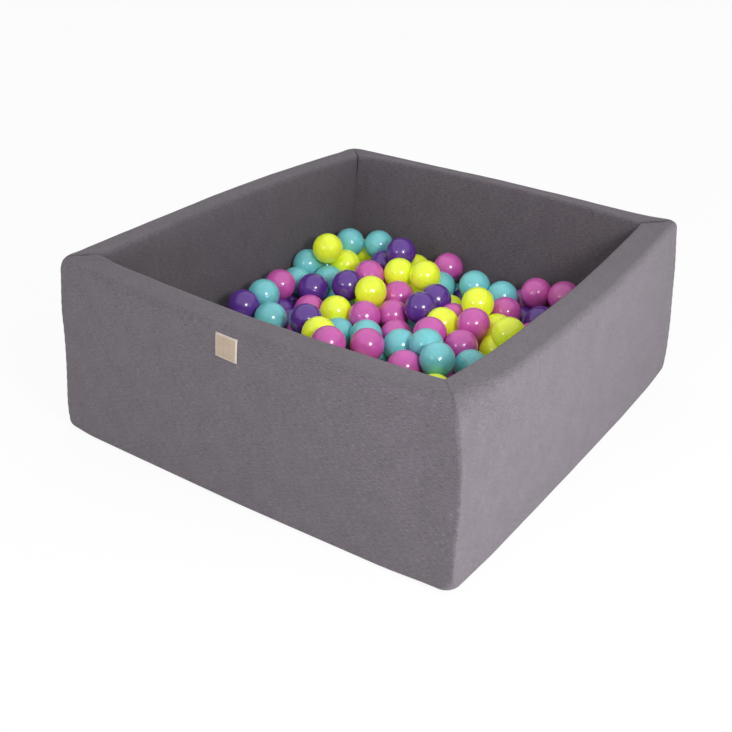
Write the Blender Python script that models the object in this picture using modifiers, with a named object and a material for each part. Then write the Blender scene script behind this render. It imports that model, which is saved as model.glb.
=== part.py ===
"""A square foam ball pit: four padded walls round a floor pad, each foam block in its own cloth cover,
sewn to its neighbours at mitred corners, on a base cloth, with a zip low on the back wall, a small
tag on the front wall and a heap of loose hollow plastic balls inside.

Metres, +Z up. The origin is the middle of the base, on the ground. The front wall, with the tag, faces -Y.
"""

import math
import random

import bmesh
import bpy
import numpy as np
from mathutils import Matrix, Vector

# Pit
WIDTH = 0.900
DEPTH = 0.920
HEIGHT = 0.360
WALL = 0.066
FLOOR_PAD = 0.050
COVER = 0.0015
BASE_CLOTH = 0.0020
GAP = 0.0003
HEM = 0.016

# Rounded edges of the walls and the floor pad
TOP_OUTER_ROUND = 0.022
TOP_INNER_ROUND = 0.020
BOTTOM_ROUND = 0.010
SEAM_ROUND = 0.004
PAD_ROUND = 0.008

# How the walls lean above the floor pad: corners drawn in by the seams, sides bowed out between them
LEAN_START = 0.062
CORNER_DRAW = 0.016
BOW_LEFT = 0.033
BOW_RIGHT = 0.027
BOW_BACK = 0.026
BOW_FRONT = 0.010
BOW_POWER = 7
BOW_STATION_SHARES = (0, 0.6, 0.8, 0.92, 1)

# Cloth webs that hold neighbouring wall covers together at the corners
WEB = 0.0012
WEB_TOP_DROP = 0.055
WEB_BOTTOM_RISE = 0.006
WEB_INSET = 0.009

# Zip
ZIP_LENGTH = 0.800
ZIP_HEIGHT = 0.044
ZIP_SLIT = 0.0030
TAPE_WIDTH = 0.013
TAPE = 0.0008
COIL_WIDTH = 0.0050
COIL = 0.0020
SLIDER_LENGTH = 0.0120
SLIDER_LIP = 0.0012
SLIDER_PLATE = 0.0014
SLIDER_ROUND = 0.0015
STOP_LENGTH = 0.0030
BRIDGE_BAR = 0.0012
BRIDGE_SPAN = 0.0070
PULL_LENGTH = 0.0220
PULL = 0.0012
PULL_RIM = 0.0013
PULL_PLAY = 0.0006

# Tag
TAG_SIZE = 0.048
TAG = 0.0014
TAG_ROUND = 0.003
TAG_X = -0.004
TAG_Z = 0.314
THREAD = 0.0007
THREAD_INSET = 0.003

# Balls
BALL = 0.070
LOOSE_BALLS = 26
FLOOR_SPACING = 0.085
UPPER_SPACING = 0.062
SCATTER_TRIES = 2500
RAISE_TOP = 0.21
RAISE_STEP = 0.004
PROP_RISE = 0.01
WALL_CLEARANCE = 0.0020
LIFT_CLEARANCE = 0.0065
FUSE = 0.0018
CORE_RISE = 0.052
CORE_INSET = 0.012
SEED = 7
SETTLE_STEPS = 260
LOOSE_STEPS = 240
SINK = 0.0012
PUSH_SHARE = 0.6
SIGHT_HOLD_SHARE = 0.6
SEEN_WEIGHT_SHARE = 0.3
LEAST_OPEN_SHARE = 0.65
PLAN_STEP = 0.004

# The photograph's camera, in this frame, and its picture in pixels
CAMERA_X = 1.0837
CAMERA_Y = -1.5655
CAMERA_Z = 1.1412
CAMERA_YAW = -0.5885
CAMERA_PITCH = 0.5025
CAMERA_ROLL = 0.0148
FOCAL_PX = 1039.0
CENTRE_U_PX = 400.0
CENTRE_V_PX = 360.0

# Pixel of the middle of each ball that the photograph shows whole, or nearly so, by colour
WHOLE_PX = {
    "turquoise": (
        (350.5, 241.9), (377.3, 245.2), (306.4, 265.1), (328.8, 278.4), (440.6, 286.5), (475.0, 286.5),
        (501.5, 293.7), (263.8, 293.7), (270.7, 318.4), (340.8, 332.4), (366.6, 336.3), (401.0, 345.2),
        (425.8, 343.9), (436.7, 358.7), (470.9, 362.3),
    ),
    "violet": (
        (401.0, 251.6), (347.7, 284.5), (312.5, 291.1), (243.4, 304.4), (436.5, 300.6), (424.0, 309.5),
        (305.9, 319.7),
    ),
    "pink": (
        (369.4, 274.3), (451.3, 270.7), (536.7, 292.9), (541.8, 309.5), (281.1, 287.3), (399.2, 291.6),
        (505.6, 308.2), (474.2, 325.3), (363.3, 315.9), (393.1, 315.9), (328.1, 338.8), (367.3, 345.2),
        (428.8, 331.9), (461.5, 338.8), (405.4, 364.3),
    ),
    "lime": (
        (327.8, 244.2), (365.3, 255.4), (345.4, 260.3), (399.2, 273.3), (422.7, 278.4), (370.9, 292.1),
        (477.6, 304.9), (334.7, 313.3), (318.6, 328.6), (441.1, 323.5), (495.9, 328.6), (508.7, 334.2),
    ),
}

# Pixel of the middle of each ball that lies lower, partly behind others
PARTLY_PX = {
    "turquoise": (
        (325.5, 264.1), (296.9, 282.7), (455.1, 296.2), (339.8, 301.8), (374.7, 356.7), (410.5, 328.6),
    ),
    "violet": (
        (384.2, 264.1), (462.8, 300.6), (474.2, 314.6), (523.5, 322.2), (289.3, 305.7), (280.4, 312.0),
        (452.6, 375.8), (288.0, 323.5),
    ),
    "pink": (
        (563.5, 296.7), (387.5, 284.0), (522.7, 304.4), (309.7, 309.5), (302.0, 332.4), (395.2, 335.0),
        (452.6, 317.1), (483.2, 345.2), (456.4, 350.3), (439.0, 377.1),
    ),
    "lime": (
        (415.6, 268.7), (418.1, 292.9), (353.1, 301.8), (379.8, 305.7), (450.0, 309.5), (495.9, 349.0),
    ),
}

# Where each wall stands: the turn from the front wall, its length, and how far its face is from the middle
SIDES = {
    "front": (0.0, WIDTH, DEPTH / 2),
    "right": (math.pi / 2, DEPTH, WIDTH / 2),
    "back": (math.pi, WIDTH, DEPTH / 2),
    "left": (-math.pi / 2, DEPTH, WIDTH / 2),
}
CORNERS = {"front_left": (-1, -1), "front_right": (1, -1), "back_right": (1, 1), "back_left": (-1, 1)}

SKIN = COVER + GAP
GROUND = BASE_CLOTH + GAP
FLOOR_TOP = FLOOR_PAD
CORE_TOP = FLOOR_TOP + CORE_RISE
INNER_X = WIDTH / 2 - WALL
INNER_Y = DEPTH / 2 - WALL
SEAM_HALF_GAP = WEB / 2 + GAP
RADIUS = BALL / 2
FLOOR_LAYER_TOP = FLOOR_TOP + RADIUS + BALL / 2


def clear_scene():
    for obj in list(bpy.data.objects):
        bpy.data.objects.remove(obj, do_unlink=True)


def new_collection(name):
    collection = bpy.data.collections.new(name)
    bpy.context.scene.collection.children.link(collection)
    return collection


def make_material(name, color, roughness, metallic=0.0):
    material = bpy.data.materials.new(name)
    material.use_nodes = True
    shader = material.node_tree.nodes["Principled BSDF"]
    shader.inputs["Base Color"].default_value = (*color, 1.0)
    shader.inputs["Roughness"].default_value = roughness
    shader.inputs["Metallic"].default_value = metallic
    material.diffuse_color = (*color, 1.0)
    return material


def object_from(bm, name, material, collection):
    bmesh.ops.recalc_face_normals(bm, faces=bm.faces)
    if bm.calc_volume(signed=True) < 0:
        bmesh.ops.reverse_faces(bm, faces=bm.faces)
    mesh = bpy.data.meshes.new(name)
    bm.to_mesh(mesh)
    bm.free()
    mesh.materials.append(material)
    obj = bpy.data.objects.new(name, mesh)
    collection.objects.link(obj)
    return obj


def box_mesh(low, high):
    """A bmesh cube stretched between two corners."""
    bm = bmesh.new()
    bmesh.ops.create_cube(bm, size=1.0)
    size = Vector(high) - Vector(low)
    middle = (Vector(high) + Vector(low)) / 2
    bmesh.ops.scale(bm, vec=size, verts=bm.verts)
    bmesh.ops.translate(bm, vec=middle, verts=bm.verts)
    return bm


def add_boolean(obj, name, operation, other):
    change = obj.modifiers.new(name, "BOOLEAN")
    change.operation = operation
    change.object = other
    change.solver = "EXACT"


def make_hidden(helper):
    helper.hide_render = True
    helper.display_type = "WIRE"


def make_helper(low, high, name, material, cutters):
    helper = object_from(box_mesh(low, high), name, material, cutters)
    make_hidden(helper)
    return helper


def round_edges(bm, edges, radius, segments):
    bmesh.ops.bevel(
        bm, geom=edges, offset=radius, segments=segments, profile=0.5, affect="EDGES", clamp_overlap=False
    )


def cut_across(bm, point, normal, clear=False):
    """Cuts the mesh by a plane; with clear, what lies beyond the plane goes and the cut is closed."""
    geometry = list(bm.verts) + list(bm.edges) + list(bm.faces)
    cut = bmesh.ops.bisect_plane(
        bm, geom=geometry, plane_co=point, plane_no=normal, clear_outer=clear, dist=GAP / 100
    )
    if clear:
        edges = [item for item in cut["geom_cut"] if isinstance(item, bmesh.types.BMEdge)]
        bmesh.ops.holes_fill(bm, edges=edges)


def bow_share(share):
    """How much of a side's bow there is at this share of the way from its middle to its corner."""
    stations = np.array(BOW_STATION_SHARES)
    return np.interp(np.abs(share), stations, 1 - stations**BOW_POWER)


def leaned(point):
    """Where a point of the straight-sided pit lies once the walls have leaned and bowed."""
    x, y, z = point
    rise = max(0.0, (z - LEAN_START) / (HEIGHT - LEAN_START))
    bow_x = (BOW_RIGHT if x > 0 else BOW_LEFT) * bow_share(y / INNER_Y)
    bow_y = (BOW_BACK if y > 0 else BOW_FRONT) * bow_share(x / INNER_X)
    share_x = max(-1.0, min(1.0, x / INNER_X))
    share_y = max(-1.0, min(1.0, y / INNER_Y))
    return Vector(
        (x + rise * share_x * (bow_x - CORNER_DRAW), y + rise * share_y * (bow_y - CORNER_DRAW), z)
    )


def lean(bm):
    for vert in bm.verts:
        vert.co = leaned(vert.co)


def wall_mesh(side, inset):
    """A mitred wall block, taken in on every face by inset from the outside of its cover."""
    turn, length, face = SIDES[side]
    low = Vector((-length, -face + inset, GROUND + inset))
    high = Vector((length, -face + WALL - inset, HEIGHT - inset))
    bm = box_mesh(low, high)
    long_edges = [edge for edge in bm.edges if abs(edge.verts[0].co.x - edge.verts[1].co.x) > length]
    middle = Vector((low + high) / 2)
    top = [edge for edge in long_edges if edge.verts[0].co.z > middle.z]
    outer = [edge for edge in long_edges if edge.verts[0].co.y < middle.y]
    round_edges(bm, [edge for edge in top if edge in outer], TOP_OUTER_ROUND - inset, 3)
    round_edges(bm, [edge for edge in top if edge not in outer], TOP_INNER_ROUND - inset, 3)
    round_edges(bm, [edge for edge in outer if edge not in top], BOTTOM_ROUND - inset, 2)
    for end in (-1, 1):
        normal = Vector((end, 1, 0)).normalized()
        corner = Vector((end * length / 2, -face, 0))
        cut_across(bm, corner - normal * (SEAM_HALF_GAP + inset), normal, clear=True)
        bm.normal_update()
        mitre = [face for face in bm.faces if abs(face.normal.dot(normal)) > 0.99]
        round_edges(bm, [edge for face in mitre for edge in face.edges], SEAM_ROUND, 1)
    inner_half = length / 2 - WALL
    for share in BOW_STATION_SHARES:
        for sign in (-1, 1):
            cut_across(bm, (sign * inner_half * share, 0, 0), (1, 0, 0))
    cut_across(bm, (0, 0, LEAN_START), (0, 0, 1))
    bmesh.ops.rotate(bm, cent=(0, 0, 0), matrix=Matrix.Rotation(turn, 3, "Z"), verts=bm.verts)
    lean(bm)
    return bm


def open_below(bm):
    """Opens a cover's underside, leaving a hem turned in under the foam."""
    bm.normal_update()
    under = [f for f in bm.faces if f.normal.z < -0.99]
    bmesh.ops.dissolve_faces(bm, faces=under, use_verts=False)
    bm.normal_update()
    under = [f for f in bm.faces if f.normal.z < -0.99]
    bmesh.ops.inset_region(bm, faces=under, thickness=HEM, use_even_offset=True)
    bmesh.ops.delete(bm, geom=under, context="FACES")


def make_cover(bm, name, material, collection):
    open_below(bm)
    cover = object_from(bm, name, material, collection)
    shell = cover.modifiers.new("Cloth", "SOLIDIFY")
    shell.thickness = COVER
    shell.offset = -1.0
    shell.use_even_offset = True
    return cover


def make_walls(collection, foam, cloth):
    covers = {}
    for side in SIDES:
        object_from(wall_mesh(side, SKIN), f"foam_wall_{side}", foam, collection)
        covers[side] = make_cover(wall_mesh(side, 0.0), f"cover_wall_{side}", cloth, collection)
    return covers


def pad_mesh(inset):
    reach_x = INNER_X - GAP - inset
    reach_y = INNER_Y - GAP - inset
    bm = box_mesh((-reach_x, -reach_y, GROUND + inset), (reach_x, reach_y, FLOOR_PAD - inset))
    top = [e for e in bm.edges if all(v.co.z > FLOOR_PAD / 2 for v in e.verts)]
    upright = [e for e in bm.edges if abs(e.verts[0].co.z - e.verts[1].co.z) > FLOOR_PAD / 2]
    round_edges(bm, top + upright, PAD_ROUND - inset, 2)
    return bm


def make_floor(collection, cutters, foam, cloth, base):
    object_from(pad_mesh(SKIN), "foam_floor", foam, collection)
    cover = object_from(pad_mesh(0.0), "cover_floor", cloth, collection)
    mouth = make_helper(
        (HEM - INNER_X, HEM - INNER_Y, GROUND - COVER),
        (INNER_X - HEM, INNER_Y - HEM, FLOOR_PAD / 2),
        "floor_cover_mouth",
        cloth,
        cutters,
    )
    inside = object_from(pad_mesh(COVER), "floor_cover_inside", cloth, cutters)
    make_hidden(inside)
    add_boolean(cover, "Mouth", "DIFFERENCE", mouth)
    add_boolean(cover, "Inside", "DIFFERENCE", inside)
    reach_x = WIDTH / 2 - BOTTOM_ROUND
    reach_y = DEPTH / 2 - BOTTOM_ROUND
    bm = box_mesh((-reach_x, -reach_y, 0.0), (reach_x, reach_y, BASE_CLOTH))
    upright = [e for e in bm.edges if abs(e.verts[0].co.z - e.verts[1].co.z) > BASE_CLOTH / 2]
    round_edges(bm, upright, BOTTOM_ROUND, 2)
    object_from(bm, "base_cloth", base, collection)


def make_webs(collection, cloth):
    for corner, (sign_x, sign_y) in CORNERS.items():
        outside = Vector((sign_x * WIDTH / 2, sign_y * DEPTH / 2, 0))
        along = Vector((-sign_x, -sign_y, 0)).normalized()
        across = Vector((0, 0, 1)).cross(along)
        bm = box_mesh(
            (WEB_INSET, -WEB / 2, GROUND + WEB_BOTTOM_RISE),
            (WALL * math.sqrt(2) - WEB_INSET, WEB / 2, HEIGHT - WEB_TOP_DROP),
        )
        cut_across(bm, (0, 0, LEAN_START), (0, 0, 1))
        for vert in bm.verts:
            flat = outside + along * vert.co.x + across * vert.co.y
            vert.co = leaned((flat.x, flat.y, vert.co.z))
        object_from(bm, f"corner_web_{corner}", cloth, collection)


def make_zip(collection, cutters, tape, coil, metal, back_cover):
    """A straight zip over a slit low in the back cover, shut, its slider at the end nearer the left wall."""
    face = DEPTH / 2
    half = ZIP_LENGTH / 2
    slit = make_helper(
        (-half, face - WALL / 4, ZIP_HEIGHT - ZIP_SLIT / 2),
        (half, face + WALL / 4, ZIP_HEIGHT + ZIP_SLIT / 2),
        "zip_slit_cutter",
        tape,
        cutters,
    )
    add_boolean(back_cover, "Zip slit", "DIFFERENCE", slit)

    tape_low = face + GAP
    tape_high = tape_low + TAPE
    for name, sign in (("zip_tape_lower", -1), ("zip_tape_upper", 1)):
        ends = sorted((ZIP_HEIGHT + sign * ZIP_SLIT / 3, ZIP_HEIGHT + sign * TAPE_WIDTH))
        object_from(box_mesh((-half, tape_low, ends[0]), (half, tape_high, ends[1])), name, tape, collection)

    coil_low = tape_high + GAP
    coil_high = coil_low + COIL
    bm = box_mesh(
        (-half, coil_low, ZIP_HEIGHT - COIL_WIDTH / 2), (half, coil_high, ZIP_HEIGHT + COIL_WIDTH / 2)
    )
    crest = [edge for edge in bm.edges if edge.calc_length() > half and edge.verts[0].co.y > coil_high - GAP]
    round_edges(bm, crest, COIL / 3, 2)
    object_from(bm, "zip_coil", coil, collection)

    plate_low = coil_high + GAP
    plate_high = plate_low + SLIDER_PLATE
    for name, sign in (("zip_stop_left", -1), ("zip_stop_right", 1)):
        ends = sorted((sign * half, sign * (half - STOP_LENGTH)))
        low = (ends[0], plate_low, ZIP_HEIGHT - COIL_WIDTH / 2)
        high = (ends[1], plate_high, ZIP_HEIGHT + COIL_WIDTH / 2)
        object_from(box_mesh(low, high), name, metal, collection)

    left = -half + STOP_LENGTH + GAP
    middle = left + SLIDER_LENGTH / 2
    channel = COIL_WIDTH / 2 + GAP
    body = box_mesh(
        (left, coil_low, ZIP_HEIGHT - channel - SLIDER_LIP),
        (left + SLIDER_LENGTH, plate_high, ZIP_HEIGHT + channel + SLIDER_LIP),
    )
    upright = [e for e in body.edges if abs(e.verts[0].co.y - e.verts[1].co.y) > COIL / 2]
    round_edges(body, upright, SLIDER_ROUND, 3)
    slider = object_from(body, "zip_slider", metal, collection)
    groove = make_helper(
        (left - SLIDER_LENGTH, coil_low - COIL, ZIP_HEIGHT - channel),
        (left + 2 * SLIDER_LENGTH, plate_low, ZIP_HEIGHT + channel),
        "slider_groove_cutter",
        metal,
        cutters,
    )
    hinge_rise = PULL / math.sqrt(2) + GAP
    arch_under = plate_high + 2 * hinge_rise
    arch = make_helper(
        (middle - BRIDGE_SPAN / 2, plate_high - SLIDER_PLATE / 2, ZIP_HEIGHT - BRIDGE_BAR / 2),
        (middle + BRIDGE_SPAN / 2, arch_under + BRIDGE_BAR, ZIP_HEIGHT + BRIDGE_BAR / 2),
        "slider_bridge",
        metal,
        cutters,
    )
    window = make_helper(
        (middle - BRIDGE_SPAN / 2 + BRIDGE_BAR, plate_low - COIL, ZIP_HEIGHT - BRIDGE_BAR),
        (middle + BRIDGE_SPAN / 2 - BRIDGE_BAR, arch_under, ZIP_HEIGHT + BRIDGE_BAR),
        "slider_window_cutter",
        metal,
        cutters,
    )
    add_boolean(arch, "Window", "DIFFERENCE", window)
    add_boolean(slider, "Groove", "DIFFERENCE", groove)
    add_boolean(slider, "Bridge", "UNION", arch)

    hinge = Vector((middle, plate_high + hinge_rise, ZIP_HEIGHT))
    hole_width = BRIDGE_BAR / 2 + PULL_PLAY
    hole_end = math.hypot(BRIDGE_SPAN / 2, hinge_rise + BRIDGE_BAR) + PULL_PLAY
    tab = box_mesh(
        (-PULL / 2, -PULL / 2, -hole_width - PULL_RIM), (PULL_LENGTH, PULL / 2, hole_width + PULL_RIM)
    )
    far = [e for e in tab.edges if all(v.co.x > PULL_LENGTH / 2 for v in e.verts) and abs(
        e.verts[0].co.y - e.verts[1].co.y) > PULL / 2]
    round_edges(tab, far, PULL_RIM, 3)
    pull = object_from(tab, "zip_pull", metal, collection)
    eye = make_helper(
        (PULL / 2, -PULL, -hole_width), (hole_end, PULL, hole_width), "pull_eye_cutter", metal, cutters
    )
    add_boolean(pull, "Eye", "DIFFERENCE", eye)
    for part in (pull, eye):
        part.location = hinge


def make_tag(collection, leather, thread):
    face = -DEPTH / 2
    bm = box_mesh(
        (TAG_X - TAG_SIZE / 2, face - GAP - TAG, TAG_Z - TAG_SIZE / 2),
        (TAG_X + TAG_SIZE / 2, face - GAP, TAG_Z + TAG_SIZE / 2),
    )
    through = [e for e in bm.edges if abs(e.verts[0].co.y - e.verts[1].co.y) > TAG / 2]
    round_edges(bm, through, TAG_ROUND, 3)
    lean(bm)
    object_from(bm, "label_tag", leather, collection)

    reach = TAG_SIZE / 2 - THREAD_INSET
    curve = bpy.data.curves.new("label_thread", "CURVE")
    curve.dimensions = "3D"
    curve.bevel_depth = THREAD / 2
    curve.bevel_resolution = 1
    spline = curve.splines.new("POLY")
    spline.points.add(3)
    spline.use_cyclic_u = True
    for point, (sign_x, sign_z) in zip(spline.points, ((-1, -1), (1, -1), (1, 1), (-1, 1))):
        place = leaned((TAG_X + sign_x * reach, face - 2 * GAP - TAG - THREAD / 2, TAG_Z + sign_z * reach))
        point.co = (*place, 1.0)
    curve.materials.append(thread)
    collection.objects.link(bpy.data.objects.new("label_thread", curve))


class Faceted:
    """The faceted ball that stands for a round one of the same volume, and how two of them touch."""

    def __init__(self):
        bm = bmesh.new()
        bmesh.ops.create_icosphere(bm, subdivisions=2, radius=1.0)
        sphere_volume = 4 / 3 * math.pi
        self.radius = RADIUS * (sphere_volume / bm.calc_volume()) ** (1 / 3)
        bm.normal_update()
        self.normals = np.array([face.normal[:] for face in bm.faces])
        centres = np.array([face.calc_center_median()[:] for face in bm.faces])
        self.reach = (self.normals * centres).sum(axis=1) * self.radius
        bm.free()
        self.up = self.normals[:, 2] > 1e-6

    def mesh(self, name):
        bm = bmesh.new()
        bmesh.ops.create_icosphere(bm, subdivisions=2, radius=self.radius)
        mesh = bpy.data.meshes.new(name)
        bm.to_mesh(mesh)
        bm.free()
        return mesh

    def push(self, offsets, gap):
        """For each offset between two balls' middles, the depth and direction of the shortest way apart."""
        depths = 2 * self.reach + gap - offsets @ self.normals.T
        nearest = depths.argmin(axis=1)
        return depths[np.arange(len(offsets)), nearest], self.normals[nearest]

    def rise(self, offset_x, offset_y, gap):
        """How far above another ball's middle a ball's own must be, at this offset across, to lie on it."""
        normals = self.normals[self.up]
        across = normals[:, 0] * offset_x + normals[:, 1] * offset_y
        return ((2 * self.reach[self.up] + gap - across) / normals[:, 2]).min()

    def overlap_across(self, offset_x, offset_y, gap):
        """Whether one ball, lifted straight up, would meet the other on its way."""
        return self.rise(offset_x, offset_y, gap) + self.rise(-offset_x, -offset_y, gap) > 0


def camera_axes():
    """The photograph's right, up and into the picture."""
    yaw, pitch, roll = CAMERA_YAW, CAMERA_PITCH, CAMERA_ROLL
    ahead = np.array(
        [math.sin(yaw) * math.cos(pitch), math.cos(yaw) * math.cos(pitch), -math.sin(pitch)]
    )
    right = np.array([math.cos(yaw), -math.sin(yaw), 0.0])
    up = np.cross(right, ahead)
    turned_right = math.cos(roll) * right + math.sin(roll) * up
    turned_up = math.cos(roll) * up - math.sin(roll) * right
    return turned_right, turned_up, ahead


def sight_line(pixel):
    right, up, ahead = camera_axes()
    u, v = pixel
    line = ahead + right * (u - CENTRE_U_PX) / FOCAL_PX - up * (v - CENTRE_V_PX) / FOCAL_PX
    return line / np.linalg.norm(line)


CAMERA = np.array([CAMERA_X, CAMERA_Y, CAMERA_Z])


def at_height(line, height):
    return CAMERA + line * (height - CAMERA[2]) / line[2]


def hidden_by_walls(point):
    """Whether the walls' rims hide this place from the photograph's camera."""
    line = point - CAMERA
    rim = at_height(line, HEIGHT)
    return abs(rim[0]) > INNER_X or abs(rim[1]) > INNER_Y


def inner_reach(across, inner_across, inner, bow_low, bow_high, sign, height):
    """How far from the middle a wall's inner face lies at this place along it and this height."""
    rise = np.maximum(0.0, (height - LEAN_START) / (HEIGHT - LEAN_START))
    bow = np.where(sign > 0, bow_high, bow_low)
    return inner + rise * (bow * bow_share(across / inner_across) - CORNER_DRAW)


def keep_inside(places, radius, clearance=WALL_CLEARANCE):
    x, y, z = places.T
    limit_x = inner_reach(y, INNER_Y, INNER_X, BOW_LEFT, BOW_RIGHT, x, z) - radius - clearance
    limit_y = inner_reach(x, INNER_X, INNER_Y, BOW_FRONT, BOW_BACK, y, z) - radius - clearance
    places[:, 0] = np.clip(x, -limit_x, limit_x)
    places[:, 1] = np.clip(y, -limit_y, limit_y)
    places[:, 2] = np.maximum(z, FLOOR_TOP + GAP + radius)


def lowest_inside(line, height):
    """The lowest place on a sight line, from this height up, that is clear of the walls."""
    for raised in np.arange(height, RAISE_TOP, RAISE_STEP):
        place = at_height(line, raised)
        if abs(place[0]) < INNER_X - RADIUS and abs(place[1]) < INNER_Y - RADIUS:
            break
    return place


def first_places(chance):
    """Rough places, colours and sight lines of all balls: the seen, those that prop up the ones near the
    walls, the floor layer, and the unseen above it."""
    low = FLOOR_TOP + RADIUS
    high = low + 0.8 * BALL
    places, colors, lines = [], [], []

    def add(place, color, line):
        places.append(place)
        colors.append(color)
        lines.append(line)

    starts = []
    props = []
    for table, height in ((WHOLE_PX, high), (PARTLY_PX, low + 0.3 * BALL)):
        starts.append(len(places))
        for color, pixels in table.items():
            for pixel in pixels:
                line = sight_line(pixel)
                place = lowest_inside(line, height)
                add(place, color, line)
                if place[2] > height + PROP_RISE:
                    props.append(place - np.array([0, 0, BALL]))

    def scatter(height, spacing, taken, wanted):
        taken = list(taken)
        for _ in range(SCATTER_TRIES):
            x = chance.uniform(RADIUS - INNER_X, INNER_X - RADIUS)
            y = chance.uniform(RADIUS - INNER_Y, INNER_Y - RADIUS)
            place = np.array([x, y, height + chance.uniform(0, RADIUS / 4)])
            nearest = np.hypot(*(np.array(taken)[:, :2] - place[:2]).T).min()
            if nearest > spacing and wanted(place):
                taken.append(place)
                add(place, chance.choice(list(WHOLE_PX)), None)

    upper, lower = places[: starts[1]], places[starts[1] :] + props
    for place in props:
        add(place, chance.choice(list(WHOLE_PX)), None)
    scatter(low, FLOOR_SPACING, lower, lambda place: True)
    scatter(high, UPPER_SPACING, upper, hidden_by_walls)
    return np.array(places), colors, lines


def push_apart(places, weights, ball):
    """Moves each overlapping pair of balls apart, each by its weight."""
    first, second = np.triu_indices(len(places), 1)
    offsets = places[second] - places[first]
    near = (np.linalg.norm(offsets, axis=1) < 2 * ball.radius + GAP) & (weights[first] + weights[second] > 0)
    first, second, offsets = first[near], second[near], offsets[near]
    depths, directions = ball.push(offsets, GAP)
    meet = depths > 0
    first, second = first[meet], second[meet]
    moves = directions[meet] * depths[meet][:, None]
    total = (weights[first] + weights[second])[:, None]
    np.add.at(places, first, -moves * weights[first][:, None] / total * PUSH_SHARE)
    np.add.at(places, second, moves * weights[second][:, None] / total * PUSH_SHARE)


def settle(places, lines, ball):
    """Lets all balls sink into a heap, while those that the photograph shows keep to their sight lines."""
    seen = np.array([line is not None for line in lines])
    rays = np.array([line for line in lines if line is not None])
    weights = np.where(seen, SEEN_WEIGHT_SHARE, 1.0)
    for step in range(SETTLE_STEPS):
        places[:, 2] -= SINK * (1 - step / SETTLE_STEPS)
        along = ((places[seen] - CAMERA) * rays).sum(axis=1)
        places[seen] += (CAMERA + rays * along[:, None] - places[seen]) * SIGHT_HOLD_SHARE
        for _ in range(3):
            push_apart(places, weights, ball)
            keep_inside(places, ball.radius)


def open_shares(places):
    """How much of each ball's outline is open to a view from straight above."""
    across = np.arange(-INNER_X, INNER_X, PLAN_STEP)
    along = np.arange(-INNER_Y, INNER_Y, PLAN_STEP)
    grid_x, grid_y = np.meshgrid(across, along)
    highest = np.zeros(grid_x.shape)
    owner = np.full(grid_x.shape, len(places))
    for index, (x, y, z) in enumerate(places):
        squared = RADIUS**2 - (grid_x - x) ** 2 - (grid_y - y) ** 2
        top = np.where(squared > 0, z + np.sqrt(np.maximum(0, squared)), 0)
        owner[top > highest] = index
        highest = np.maximum(highest, top)
    cells = np.bincount(owner.ravel(), minlength=len(places) + 1)[:-1]
    return cells * PLAN_STEP**2 / (math.pi * RADIUS**2)


def choose_loose(places, seen, jammed, ball):
    """Balls that nothing lies over, so that each can be lifted straight out by itself: first those that the
    photograph shows, and the highest first."""
    chosen = []
    for index in sorted(range(len(places)), key=lambda item: (not seen[item], -places[item, 2])):
        x, y, z = places[index]
        spot = np.array([[x, y, HEIGHT]])
        keep_inside(spot, ball.radius)
        leans_over = abs(spot[0, 0] - x) > 0 or abs(spot[0, 1] - y) > 0
        if index in jammed or z < FLOOR_LAYER_TOP or leans_over:
            continue
        over = [
            other
            for other in range(len(places))
            if other != index
            and (places[other, 2] > z or other in chosen)
            and ball.overlap_across(*(places[other, :2] - places[index, :2]), GAP)
        ]
        if not over:
            chosen.append(index)
        if len(chosen) == LOOSE_BALLS:
            break
    return chosen


def part_loose(places, loose, ball):
    """Moves the loose balls clear of the others, and of the walls up to their rims."""
    weights = np.zeros(len(places))
    weights[loose] = 1
    for _ in range(LOOSE_STEPS):
        push_apart(places, weights, ball)
        inside = places[loose]
        keep_inside(inside, ball.radius, LIFT_CLEARANCE)
        lifted = inside.copy()
        lifted[:, 2] = HEIGHT
        keep_inside(lifted, ball.radius, LIFT_CLEARANCE)
        lifted[:, 2] = np.maximum(inside[:, 2], CORE_TOP + ball.radius + GAP)
        places[loose] = lifted


def lower(places, moving, still, gap, ball):
    """Lowers each moving ball until this gap is left over the core or the highest ball under it; a gap below
    zero sinks it in."""
    under = list(still)
    for index in sorted(moving, key=lambda item: places[item, 2]):
        rests = [CORE_TOP + ball.radius + gap]
        for other in under:
            offset = places[index, :2] - places[other, :2]
            if ball.overlap_across(*offset, gap):
                rests.append(places[other, 2] + ball.rise(*offset, gap))
        places[index, 2] = min(places[index, 2], max(rests))
        under.append(index)


def find_jammed(places, loose, ball):
    """The loose balls that still touch another ball, or that one lies over."""
    jammed = set()
    for index in loose:
        others = np.array([other for other in range(len(places)) if other != index])
        offsets = places[others] - places[index]
        touching = ball.push(offsets, GAP / 2)[0] > 0
        over = [
            offset[2] > 0 and ball.overlap_across(offset[0], offset[1], GAP / 2)
            for offset in offsets
        ]
        if touching.any() or any(over):
            jammed.add(index)
    return jammed


def heap_of_balls(ball):
    """Every ball's middle and colour, and which balls are loose."""
    places, colors, lines = first_places(random.Random(SEED))
    settle(places, lines, ball)
    shares = open_shares(places)
    kept = [
        index
        for index in range(len(places))
        if lines[index] is not None or places[index, 2] > FLOOR_LAYER_TOP or shares[index] > LEAST_OPEN_SHARE
    ]
    settled = places[kept]
    colors = [colors[index] for index in kept]
    seen = [lines[index] is not None for index in kept]
    jammed = set()
    while True:
        places = settled.copy()
        loose = choose_loose(places, seen, jammed, ball)
        bed = [index for index in range(len(places)) if index not in loose]
        lower(places, bed, [], -FUSE, ball)
        part_loose(places, loose, ball)
        lower(places, loose, bed, GAP, ball)
        newly_jammed = find_jammed(places, loose, ball)
        if not newly_jammed:
            return places, colors, loose
        jammed |= newly_jammed


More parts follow.
